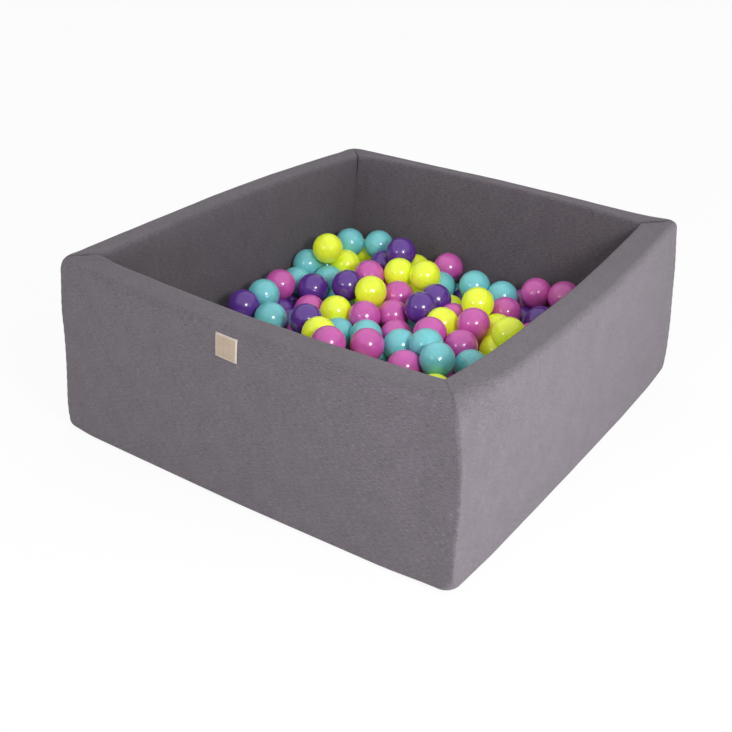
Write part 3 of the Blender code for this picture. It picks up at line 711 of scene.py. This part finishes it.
def wall(side, material):
    """One foam wall in its knit cover, lofted along its length between the seams at its corners."""
    turn, length, face = SIDES[side]
    chance = random.Random(f"{SEED} {side}")
    depth, height, _ = wall_section(side, 0.0, CORNERS[corner_at(side, 1)])
    around = distance_along(depth, height)
    stations = wall_stations()
    pucker_phase = chance.uniform(0, 2 * math.pi)
    points, uvs = [], []
    for share, over in stations:
        corner = CORNERS[corner_at(side, 1 if share > 0 else -1)]
        from_end = (1 - abs(share)) * length / 2
        near = float(smooth_step(1 - from_end / corner["along"]))
        depth, height, normal = wall_section(side, near, corner)
        lengths = distance_along(depth, height)
        opened = smooth_step((height - (HEIGHT - corner["reach"])) / corner["reach"])
        edge = SEWN_EDGE + (max(corner["edge"], SEWN_EDGE) - SEWN_EDGE) * opened
        angle = min(over, 1.0) * math.pi / 2
        taken_in = edge * (1 - math.cos(angle)) + (WEB_INSET if over > 1 else 0.0)
        y = depth - normal[:, 0] * taken_in
        z = height - normal[:, 1] * taken_in
        lens = 1 - ((depth / WALL - corner["widest"]) / corner["spread"]) ** 2
        lens = np.clip(lens, 0.0, None)
        slit = corner["slit"] * opened * lens
        parted = (SEAM_HALF_GAP if over > 1 else SEAM_TOUCH) + slit
        edge_held = edge * (1 - math.sin(angle)) * abs(share) ** EDGE_POWER
        held_back = parted * math.sqrt(2) + edge_held
        x = share * (length / 2 - y - held_back)

        outward = (normal[:, 0] < 0) * 1.0
        aloft = np.clip((z - GROUND) / (HEIGHT - GROUND), 0, 1)
        crown = CROWN * outward * (1 - share**CROWN_POWER)
        crown = crown * (1 - np.abs(2 * aloft - 1) ** CROWN_UP_POWER)
        waves = WAVES * slow_waves(x, around, random.Random(f"waves {SEED} {side}"))
        waves = waves * (1 - share**WAVES_POWER)
        pucker = PUCKER * np.sin(around * 2 * math.pi / PUCKER_LENGTH + pucker_phase + share)
        pucker = pucker * math.exp(-from_end / PUCKER_REACH) * (over <= 0.5)
        lift = crown + (waves + pucker) * (normal[:, 1] > -0.5)
        if side == "back":
            lift = lift * smooth_step((z - ZIP_FREE_LOW) / (ZIP_FREE_HIGH - ZIP_FREE_LOW))
        y = y + normal[:, 0] * lift
        z = z + normal[:, 1] * lift
        aloft = smooth_step((z - LEAN_START) / (HEIGHT - LEAN_START)) ** 2
        tilt = TILTS[side] * (1 - share**TILT_POWER)
        z = z + aloft * (corner["ear"] * near**2 + tilt * (depth / WALL - TILT_PIVOT))
        points.append(np.stack((x, y - face, z), axis=1))
        uvs.append(np.stack((x, lengths), axis=1))
    points = leaned(turned(np.concatenate(points), turn))
    faces = wall_faces(len(stations), len(depth))
    piece = new_piece(f"wall_{side}", points, faces, material, np.concatenate(uvs))
    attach(piece, "pit")
    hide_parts(f"cover_wall_{side}", f"foam_wall_{side}")
    return piece


STRIP_COLUMNS = 10
STRIP_ROWS = 40


def corner_strip(name, sign_x, sign_y, material):
    """The strip of cloth that joins two covers inside their corner."""
    outside = np.array([sign_x * WIDTH / 2, sign_y * DEPTH / 2, 0.0])
    along = np.array([-sign_x, -sign_y, 0.0]) / math.sqrt(2)
    across = np.cross((0.0, 0.0, 1.0), along)
    far = WALL * math.sqrt(2) - WEB_INSET
    low, high = GROUND + WEB_BOTTOM_RISE, HEIGHT - WEB_TOP_DROP
    points, uvs = [], []
    for sign in (-1, 1):
        for row in range(STRIP_ROWS + 1):
            for column in range(STRIP_COLUMNS + 1):
                reach = WEB_INSET + (far - WEB_INSET) * column / STRIP_COLUMNS
                z = low + (high - low) * row / STRIP_ROWS
                place = outside + along * reach + across * sign * WEB / 2
                points.append(place + np.array([0, 0, z]))
                uvs.append((reach, z))
    faces = sheet_faces(STRIP_COLUMNS, STRIP_ROWS)
    piece = new_piece(f"corner_strip_{name}", leaned(np.array(points)), faces, material, uvs)
    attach(piece, "pit")
    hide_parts(f"corner_web_{name}")


# Balls


def ball_mesh():
    """A smooth ball with the fine ridge of its mould's seam round it, as points and faces."""
    ridge = SEAM_RIDGE_HALF / RADIUS
    angles = [step / BALL_ROWS * math.pi - math.pi / 2 for step in range(1, BALL_ROWS)]
    angles = [angle for angle in angles if abs(angle) > 2 * ridge]
    angles = sorted(angles + [-ridge, 0.0, ridge])
    points = [(0.0, 0.0, -RADIUS)]
    for angle in angles:
        reach = RADIUS + (SEAM_RIDGE if angle == 0.0 else 0.0)
        for step in range(BALL_TURNS):
            turn = step / BALL_TURNS * 2 * math.pi
            x = reach * math.cos(angle) * math.cos(turn)
            y = reach * math.cos(angle) * math.sin(turn)
            points.append((x, y, reach * math.sin(angle)))
    points.append((0.0, 0.0, RADIUS))
    faces = []
    top = 1 + (len(angles) - 1) * BALL_TURNS
    for step in range(BALL_TURNS):
        after = (step + 1) % BALL_TURNS
        faces.append((0, 1 + after, 1 + step))
        for low in range(1, top, BALL_TURNS):
            high = low + BALL_TURNS
            faces.append((low + step, low + after, high + after, high + step))
        faces.append((top + step, top + after, len(points) - 1))
    return np.array(points), faces


def camera_axes():
    """The photograph's right, up and into the picture."""
    yaw, pitch, roll = CAMERA_YAW, CAMERA_PITCH, CAMERA_ROLL
    level = math.cos(pitch)
    ahead = np.array([math.sin(yaw) * level, math.cos(yaw) * level, -math.sin(pitch)])
    right = np.array([math.cos(yaw), -math.sin(yaw), 0.0])
    up = np.cross(right, ahead)
    rolled_right = math.cos(roll) * right + math.sin(roll) * up
    rolled_up = math.cos(roll) * up - math.sin(roll) * right
    return rolled_right, rolled_up, ahead


def pixel_of(point):
    """The pixel in which the photograph's camera sees a point."""
    right, up, ahead = camera_axes()
    away = np.asarray(point) - CAMERA
    scale = FOCAL_PX / (away @ ahead)
    return CENTRE_U_PX + scale * (away @ right), CENTRE_V_PX - scale * (away @ up)


def bed_places():
    """The middles of the balls fused into the CAD's bed, found from its mesh.

    Every point of the mesh votes for each middle that it could belong to, and the true ones win
    most votes.
    """
    bm = bmesh.new()
    bmesh.ops.create_icosphere(bm, subdivisions=2, radius=FACETED_RADIUS)
    shape = np.array([v.co[:] for v in bm.verts])
    bm.free()
    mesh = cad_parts["ball_bed"].data
    found = np.empty(len(mesh.vertices) * 3)
    mesh.vertices.foreach_get("co", found)
    found = found.reshape(-1, 3)
    found = found[np.unique(np.round(found / VOTE_CELL), axis=0, return_index=True)[1]]
    votes = (found[:, None, :] - shape[None, :, :]).reshape(-1, 3)
    cells = np.round(votes / VOTE_CELL)
    _, where, counts = np.unique(cells, axis=0, return_index=True, return_counts=True)
    middles = []
    for index in np.argsort(-counts, kind="stable"):
        if counts[index] < LEAST_VOTES:
            break
        middle = votes[where[index]]
        if all(np.linalg.norm(middle - other) > RADIUS for other in middles):
            middles.append(middle)
    return middles


def choose_colors(places):
    """Each place's colour: that of the photograph's ball seen nearest to it, or one by chance."""
    pairs = []
    for colors, cost in ((WHOLE_PX, 0.0), (PARTLY_PX, PARTLY_COST_PX)):
        for color, pixels in colors.items():
            for pixel in pixels:
                for index, place in enumerate(places):
                    seen = pixel_of(place)
                    off = math.hypot(seen[0] - pixel[0], seen[1] - pixel[1])
                    if off < MATCH_PX:
                        far = np.linalg.norm(np.asarray(place) - CAMERA)
                        pairs.append((off + cost + far * FAR_COST_PX, index, pixel, color))
    pairs.sort(key=lambda pair: pair[0])
    chosen, used = {}, set()
    for _, index, pixel, color in pairs:
        if index not in chosen and pixel not in used:
            chosen[index] = color
            used.add(pixel)
    chance = random.Random(SEED)
    return [chosen.get(i) or chance.choice(sorted(WHOLE_PX)) for i in range(len(places))]


def any_turn(chance):
    """A turn about any axis, as a matrix."""
    axis = Vector([chance.gauss(0, 1) for _ in range(3)]).normalized()
    return np.array(Matrix.Rotation(chance.uniform(0, 2 * math.pi), 3, axis))


def make_balls(materials):
    chance = random.Random(SEED)
    shape, faces = ball_mesh()
    loose = sorted(
        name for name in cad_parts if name.startswith("ball_") and name != "ball_bed"
    )
    places = []
    for name in loose:
        low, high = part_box(name)
        places.append((Vector(low) + Vector(high)) / 2)
    bed = bed_places()
    colors = choose_colors([np.array(p) for p in places] + bed)
    for name, place, color in zip(loose, places, colors):
        points = shape @ any_turn(chance).T + np.array(place)
        piece = new_piece(f"round_{name}", points, faces, materials[color])
        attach(piece, name)
        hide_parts(name)
    bed_colors = colors[len(loose):]
    for color in sorted(materials):
        alike = [place for place, its in zip(bed, bed_colors) if its == color]
        parts = [(shape @ any_turn(chance).T + place, faces) for place in alike]
        points, all_faces = joined(parts)
        piece = new_piece(f"bed_balls_{color}", points, all_faces, materials[color])
        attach(piece, "pit")
        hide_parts("ball_bed")


# The floor pad and the base


SLAB_EDGE_STEPS = 5
SLAB_CORNER_STEPS = 6

# How far in a slab's innermost rings are, in roundnesses of its edge
SLAB_FLAT = 3


def slab(name, half_size, levels, edge, corner_round, material):
    """A pad with rounded corners and edges, as a closed mesh with cloth coordinates."""
    low, high = levels
    angles = np.linspace(0, math.pi / 2, SLAB_EDGE_STEPS + 1)
    rings = [(edge * (1 - math.sin(turn)), edge * (1 - math.cos(turn))) for turn in angles]

    # An edge's rings run from its side inwards, so the mesh folds over itself there
    rings = [(edge * SLAB_FLAT, 0.0)] + rings[::-1]
    upper = [(taken, high - down) for taken, down in rings]
    lower = [(taken, low + down) for taken, down in rings[::-1]]
    points = []
    for taken, z in upper + lower:
        reach_x, reach_y = half_size[0] - taken, half_size[1] - taken
        round_by = max(corner_round - taken, edge / 4)
        for corner, (sign_x, sign_y) in enumerate(((1, 1), (-1, 1), (-1, -1), (1, -1))):
            for step in range(SLAB_CORNER_STEPS + 1):
                angle = (corner + step / SLAB_CORNER_STEPS) * math.pi / 2
                x = sign_x * (reach_x - round_by) + round_by * math.cos(angle)
                y = sign_y * (reach_y - round_by) + round_by * math.sin(angle)
                points.append((x, y, z))
    around = 4 * (SLAB_CORNER_STEPS + 1)
    faces = bar_faces(2 * len(rings), around)
    uvs = [(x, y + high - z) for x, y, z in points]
    return new_piece(name, points, faces, material, uvs)


def make_floor(cloth, base):
    half_size = (INNER_X - GAP, INNER_Y - GAP)
    pad = slab("floor_pad", half_size, (GROUND, FLOOR_PAD), PAD_ROUND, PAD_CORNER_ROUND, cloth)
    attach(pad, "pit")
    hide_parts("cover_floor", "foam_floor")
    width, length = WIDTH - 2 * BASE_EDGE, DEPTH - 2 * BASE_EDGE
    half_size = (width / 2, length / 2)
    edge = BASE_CLOTH / 2
    sheet = slab("base_sheet", half_size, (0.0, BASE_CLOTH), edge, BASE_CORNER_ROUND, base)
    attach(sheet, "pit")
    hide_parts("base_cloth")


# The tag


TAG_WIDTH = 0.048
TAG_HEIGHT = 0.0455
TAG = 0.0014
TAG_EDGE = 0.0005
TAG_EDGE_POWER = 12
TAG_X = 0.0025
TAG_Z = 0.3265
TAG_DIP = -0.033
TAG_SLANT = 0.100
TAG_STEPS = 16
THREAD = 0.0007
THREAD_INSET = 0.003
THREAD_SIDES = 6
STITCH = 0.0030
STITCH_APART = 0.0012
STITCH_STEPS = 6

# How high a stitch's middle stands and how far its ends are drawn in, in half widths of the
# thread, and how much thinner its ends are
STITCH_RISE = 0.8
STITCH_SINK = 1.1
STITCH_TAPER = 0.25


def surface_of(piece):
    """What finds the y of a wall's outer face in front of a place."""
    mesh = piece.data
    faces = [p.vertices[:] for p in mesh.polygons]
    tree = BVHTree.FromPolygons([v.co for v in mesh.vertices], faces)

    def face_y(x, z):
        return tree.ray_cast(Vector((x, -WIDTH, z)), Vector((0, 1, 0)))[0].y

    return face_y


def tag_place(u, v):
    """The x and z of a place on the tag, whose halves run from minus one to one."""
    across, up = u * TAG_WIDTH / 2, v * TAG_HEIGHT / 2
    x = TAG_X + across + up * TAG_SLANT
    z = TAG_Z + up + across * TAG_DIP
    return x, float(leaned(np.array([[x, -DEPTH / 2, z]]))[0, 2])


def make_tag(face_y, hide):
    """The square tag, sewn flat on the front wall, its edges a little thinner than its middle."""
    points, uvs = [], []
    for side in (0, 1):
        for row in range(TAG_STEPS + 1):
            for column in range(TAG_STEPS + 1):
                u, v = column / TAG_STEPS * 2 - 1, row / TAG_STEPS * 2 - 1
                edge = TAG_EDGE * max(abs(u), abs(v)) ** TAG_EDGE_POWER
                x, z = tag_place(u, v)
                points.append((x, face_y(x, z) - GAP / 2 - (TAG - edge if side else 0.0), z))
                uvs.append((u, v))
    faces = sheet_faces(TAG_STEPS, TAG_STEPS)
    piece = new_piece("tag", points, faces, hide, uvs)
    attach(piece, "pit")
    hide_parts("label_tag")


def tube(path, radius, sides, away):
    """The points and faces of a round bar along a path; away is roughly across the path."""
    path = np.asarray(path)
    heading = np.gradient(path, axis=0)
    heading /= np.linalg.norm(heading, axis=1)[:, None]
    first = away - heading * (heading @ away)[:, None]
    first /= np.linalg.norm(first, axis=1)[:, None]
    second = np.cross(heading, first)
    radius = np.broadcast_to(radius, len(path))[:, None]
    rings = []
    for side in range(sides):
        angle = 2 * math.pi * side / sides
        rings.append(path + radius * (math.cos(angle) * first + math.sin(angle) * second))
    points = np.stack(rings, axis=1).reshape(-1, 3)
    return points, turned_over(bar_faces(len(path), sides))


def stitches(name, spans, out, thread):
    """A row of stitches, each lying over the cloth and drawn into it at its two ends."""
    out = np.array(out)
    parts = []
    for begin, finish in spans:
        begin, finish = np.asarray(begin), np.asarray(finish)
        path, radii = [], []
        for step in range(STITCH_STEPS + 1):
            share = step * 2 / STITCH_STEPS - 1
            middle = (begin + finish) / 2 + (finish - begin) / 2 * share
            path.append(middle + out * THREAD / 2 * (STITCH_RISE - STITCH_SINK * share**4))
            radii.append(THREAD / 2 * (1 - STITCH_TAPER * share**4))
        parts.append(tube(path, np.array(radii), THREAD_SIDES, out))
    points, faces = joined(parts)
    piece = new_piece(name, points, faces, thread)
    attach(piece, "pit")
    return piece


def stitched_line(begin, finish):
    """The starts and ends of the stitches between two places."""
    begin, finish = np.asarray(begin), np.asarray(finish)
    length = np.linalg.norm(finish - begin)
    count = max(1, round(length / (STITCH + STITCH_APART)))
    share = STITCH / (STITCH + STITCH_APART)
    step = (finish - begin) / count
    return [(begin + step * i, begin + step * (i + share)) for i in range(count)]


def make_tag_stitches(face_y, thread):
    reach_u = 1 - THREAD_INSET / (TAG_WIDTH / 2)
    reach_v = 1 - THREAD_INSET / (TAG_HEIGHT / 2)
    spots = []
    for u, v in CORNER_SIGNS.values():
        x, z = tag_place(u * reach_u, v * reach_v)
        spots.append((x, face_y(x, z) - GAP / 2 - TAG, z))
    spans = []
    for here, there in zip(spots, spots[1:] + spots[:1]):
        spans += stitched_line(here, there)
    piece = stitches("tag_stitches", spans, (0.0, -1.0, 0.0), thread)
    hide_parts("label_thread")


# The zip low on the back wall


ZIP_LENGTH = 0.800
ZIP_HEIGHT = 0.044
ZIP_SLIT = 0.0030
TAPE_WIDTH = 0.013
TAPE = 0.0008
TAPE_EDGE_POWER = 8
TAPE_WAVE = 0.0002
TAPE_WAVE_LENGTHS = (0.11, 0.047, 0.23)
TAPE_STATIONS = 240
TAPE_STEPS = 6
COIL_WIDTH = 0.0050
COIL = 0.0020
COIL_WIRE = 0.0007
COIL_PITCH = 0.0017
COIL_OVERLAP = 0.0006
COIL_STAGGER = 0.25
COIL_STEPS = 10
COIL_SIDES = 5
SLIDER_PLATE = 0.0014
STOP_LENGTH = 0.0030
STOP_ROUND = 0.0005
STOP_LEVELS = 9
STOP_SIDES = 20
STOP_WAIST = 0.14
STOP_TAPER = 0.20
STOP_TAPER_POWER = 8
TAPE_LOW = DEPTH / 2 + GAP
TAPE_HIGH = TAPE_LOW + TAPE
COIL_LOW = TAPE_HIGH + GAP
PLATE_LOW = COIL_LOW + COIL + GAP


def make_tape(name, sign, chance, material, thread):
    """One woven tape of the zip with its row of stitches, its long edges not quite straight."""
    inner, outer = ZIP_HEIGHT + sign * ZIP_SLIT / 3, ZIP_HEIGHT + sign * TAPE_WIDTH
    phases = [chance.uniform(0, 2 * math.pi) for _ in TAPE_WAVE_LENGTHS]
    points, uvs = [], []
    for station in range(TAPE_STATIONS + 1):
        x = (station / TAPE_STATIONS - 0.5) * ZIP_LENGTH
        wave = 0.0
        for length, phase in zip(TAPE_WAVE_LENGTHS, phases):
            wave += math.sin(x * 2 * math.pi / length + phase) * TAPE_WAVE / len(phases)
        for upper in (0, 1):
            for step in range(TAPE_STEPS + 1):
                share = (TAPE_STEPS - step if upper else step) / TAPE_STEPS
                z = inner + (outer - inner) * share + sign * wave * share
                thin = TAPE / 4 * abs(2 * share - 1) ** TAPE_EDGE_POWER
                y = (TAPE_HIGH - thin if upper else TAPE_LOW + thin) + wave / 2 * share
                points.append((x, y, z))
                uvs.append((x, z))
    around = 2 * (TAPE_STEPS + 1)
    faces = bar_faces(TAPE_STATIONS + 1, around)
    if sign > 0:
        faces = turned_over(faces)
    piece = new_piece(f"zip_band_{name}", points, faces, material, uvs)
    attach(piece, "pit")
    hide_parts(f"zip_tape_{name}")
    row = (inner + outer * 2) / 3
    line = stitched_line((-ZIP_LENGTH / 2, TAPE_HIGH, row), (ZIP_LENGTH / 2, TAPE_HIGH, row))
    sewn = stitches(f"zip_stitches_{name}", line, (0.0, 1.0, 0.0), thread)


def make_coil(material):
    """The two coils, which pass through each other along the zip's middle."""
    parts = []
    turns = int((ZIP_LENGTH - 2 * COIL_PITCH) / COIL_PITCH)
    turn = np.arange(turns * COIL_STEPS + 1) / COIL_STEPS
    angle = turn * 2 * math.pi
    for sign in (-1, 1):
        middle = ZIP_HEIGHT + sign * (COIL_WIDTH / 2 - COIL_OVERLAP) / 2
        half = (COIL_WIDTH / 2 + COIL_OVERLAP - COIL_WIRE) / 2
        x = -ZIP_LENGTH / 2 + COIL_PITCH * (1 + turn + sign * COIL_STAGGER)
        y = COIL_LOW + COIL / 2 + (COIL - COIL_WIRE) / 2 * np.cos(angle)
        path = np.stack((x, y, middle + half * np.sin(angle)), axis=1)
        parts.append(tube(path, COIL_WIRE / 2, COIL_SIDES, np.array([1.0, 0.0, 0.0])))
    points, faces = joined(parts)
    piece = new_piece("zip_coils", points, faces, material)
    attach(piece, "pit")
    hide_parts("zip_coil")


def make_stop(name, sign, material):
    """A stop pressed on the coil, waisted where the tool bit it."""
    half_y, half_z = SLIDER_PLATE / 2, COIL_WIDTH / 2
    points = []
    for level in range(STOP_LEVELS):
        share = level / (STOP_LEVELS - 1) * 2 - 1
        shrink = 1 - STOP_WAIST * (1 - share * share)
        shrink -= STOP_TAPER * abs(share) ** STOP_TAPER_POWER
        x = sign * (ZIP_LENGTH / 2 - STOP_LENGTH / 2) + share * STOP_LENGTH / 2
        for side in range(STOP_SIDES):
            angle = 2 * math.pi * side / STOP_SIDES
            out, up = math.cos(angle), math.sin(angle)
            y = math.copysign(math.sqrt(abs(out)), out) * half_y * shrink
            z = math.copysign(math.sqrt(abs(up)), up) * half_z * shrink
            points.append((x, PLATE_LOW + half_y + y, ZIP_HEIGHT + z))
    faces = turned_over(bar_faces(STOP_LEVELS, STOP_SIDES))
    piece = new_piece(f"zip_crimp_{name}", points, faces, material)
    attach(piece, "pit")
    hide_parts(f"zip_stop_{name}")


def make_zip(tape, coil, steel, thread):
    chance = random.Random(f"zip {SEED}")
    make_tape("lower", -1, chance, tape, thread)
    make_tape("upper", 1, chance, tape, thread)
    make_coil(coil)
    make_stop("left", -1, steel)
    make_stop("right", 1, steel)
    for name in ("zip_slider", "zip_pull"):
        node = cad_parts[name]
        node.data.materials.clear()
        node.data.materials.append(steel)
        worn = node.modifiers.new("worn edges", "BEVEL")
        worn.width = STOP_ROUND / 2
        worn.segments = 2
        worn.limit_method = "ANGLE"


# Camera, floor and light


def make_camera():
    right, up, ahead = camera_axes()
    data = bpy.data.cameras.new("camera")
    data.sensor_fit = "HORIZONTAL"
    data.sensor_width = SENSOR_MM
    data.lens = FOCAL_PX / PICTURE_PX * SENSOR_MM
    data.shift_x = (PICTURE_PX / 2 - CENTRE_U_PX) / PICTURE_PX
    data.shift_y = (CENTRE_V_PX - PICTURE_PX / 2) / PICTURE_PX
    camera = placed("camera", data)
    axes = Matrix((right, up, -ahead)).transposed().to_4x4()
    axes.translation = Vector(CAMERA)
    camera.matrix_world = axes
    bpy.context.scene.camera = camera


FLOOR_REACH = 12.0
FLOOR_GREY = 0.85
FLOOR_WHITE_SHARE = 0.90
WORLD_LEVEL = 0.80
WHITE = (1.0, 1.0, 1.0, 1.0)

# Each lamp's place, what it shines on, its width, its power, and whether glossy pieces show it
LAMPS = {
    "key_right": ((2.9, -0.4, 0.26), (0.4, 0.0, 0.2), 0.5, 51.0, False),
    "fill_near": ((1.5, -3.0, 0.60), (0.0, -0.3, 0.2), 1.1, 18.0, False),
    "spot_near": ((1.50, -0.88, 1.24), (0.0, 0.0, 0.15), 0.38, 18.5, True),
    "spot_left": ((-0.25, -2.02, 1.20), (0.0, 0.0, 0.15), 0.24, 4.6, True),
}


def make_stage():
    """A floor that keeps the shadow and a plain world, both of which the camera sees as white."""
    f = new_finish("backdrop")
    seen = f.add("ShaderNodeLightPath").outputs["Is Camera Ray"]
    grey = opaque((FLOOR_GREY, FLOOR_GREY, FLOOR_GREY))
    lit = f.add("ShaderNodeBsdfDiffuse", {"Color": grey})
    white = f.add("ShaderNodeEmission", {"Color": WHITE, "Strength": 1.0})
    share = f.times(seen, FLOOR_WHITE_SHARE)
    both = f.add("ShaderNodeMixShader", {0: share, 1: lit.outputs[0], 2: white.outputs[0]})
    f.add("ShaderNodeOutputMaterial", {"Surface": both.outputs[0]})
    mesh = bpy.data.meshes.new("stage")
    corners = [(FLOOR_REACH * x, FLOOR_REACH * y, 0) for x, y in CORNER_SIGNS.values()]
    mesh.from_pydata(corners, [], [(0, 1, 2, 3)])
    mesh.materials.append(f.owner)
    stage = placed("stage", mesh)

    world = bpy.data.worlds.new("world")
    f = Nodes(world)
    seen = f.add("ShaderNodeLightPath").outputs["Is Camera Ray"]
    level = f.span(seen, 0.0, 1.0, WORLD_LEVEL, 1.0)
    back = f.add("ShaderNodeBackground", {"Color": WHITE, "Strength": level})
    f.add("ShaderNodeOutputWorld", {"Surface": back.outputs[0]})
    bpy.context.scene.world = world
    bpy.context.scene.view_settings.view_transform = "Standard"


def make_lamps():
    for name, (place, aim, width, power, mirrored) in LAMPS.items():
        data = bpy.data.lights.new(name, "AREA")
        data.shape = "DISK"
        data.size = width
        data.energy = power
        piece = placed(name, data)
        piece.location = place
        away = Vector(aim) - Vector(place)
        piece.rotation_euler = away.to_track_quat("-Z", "Y").to_euler()
        piece.visible_glossy = mirrored


# The colours of the balls' plastics, and how strong a painted light each gives off, though no lamp, to
# lift the lime balls' shaded sides
PLASTICS = {
    "turquoise": ((0.190, 0.640, 0.690), 0.0),
    "violet": ((0.115, 0.033, 0.305), 0.0),
    "pink": ((0.650, 0.112, 0.455), 0.0),
    "lime": ((0.830, 0.960, 0.036), 0.12),
}

make_camera()
make_stage()
make_lamps()
cloth = knit("melange_knit_cover")
base = weave("base_weave", (0.05, 0.05, 0.055), 0.0009)
walls = {side: wall(side, cloth) for side in SIDES}
for name, (sign_x, sign_y) in CORNER_SIGNS.items():
    corner_strip(name, sign_x, sign_y, cloth)
make_floor(cloth, base)
face_y = surface_of(walls["front"])
make_tag(face_y, leather("tag_hide", (0.395, 0.314, 0.240)))
make_tag_stitches(face_y, yarn("tag_yarn", (0.62, 0.54, 0.47)))
make_zip(
    weave("zip_weave", (0.085, 0.078, 0.088), 0.0006),
    nylon("zip_nylon", (0.045, 0.042, 0.046)),
    metal("zip_steel", (0.56, 0.55, 0.54)),
    yarn("zip_yarn", (0.10, 0.09, 0.10)),
)
make_balls({color: plastic(f"plastic_{color}", *look) for color, look in PLASTICS.items()})
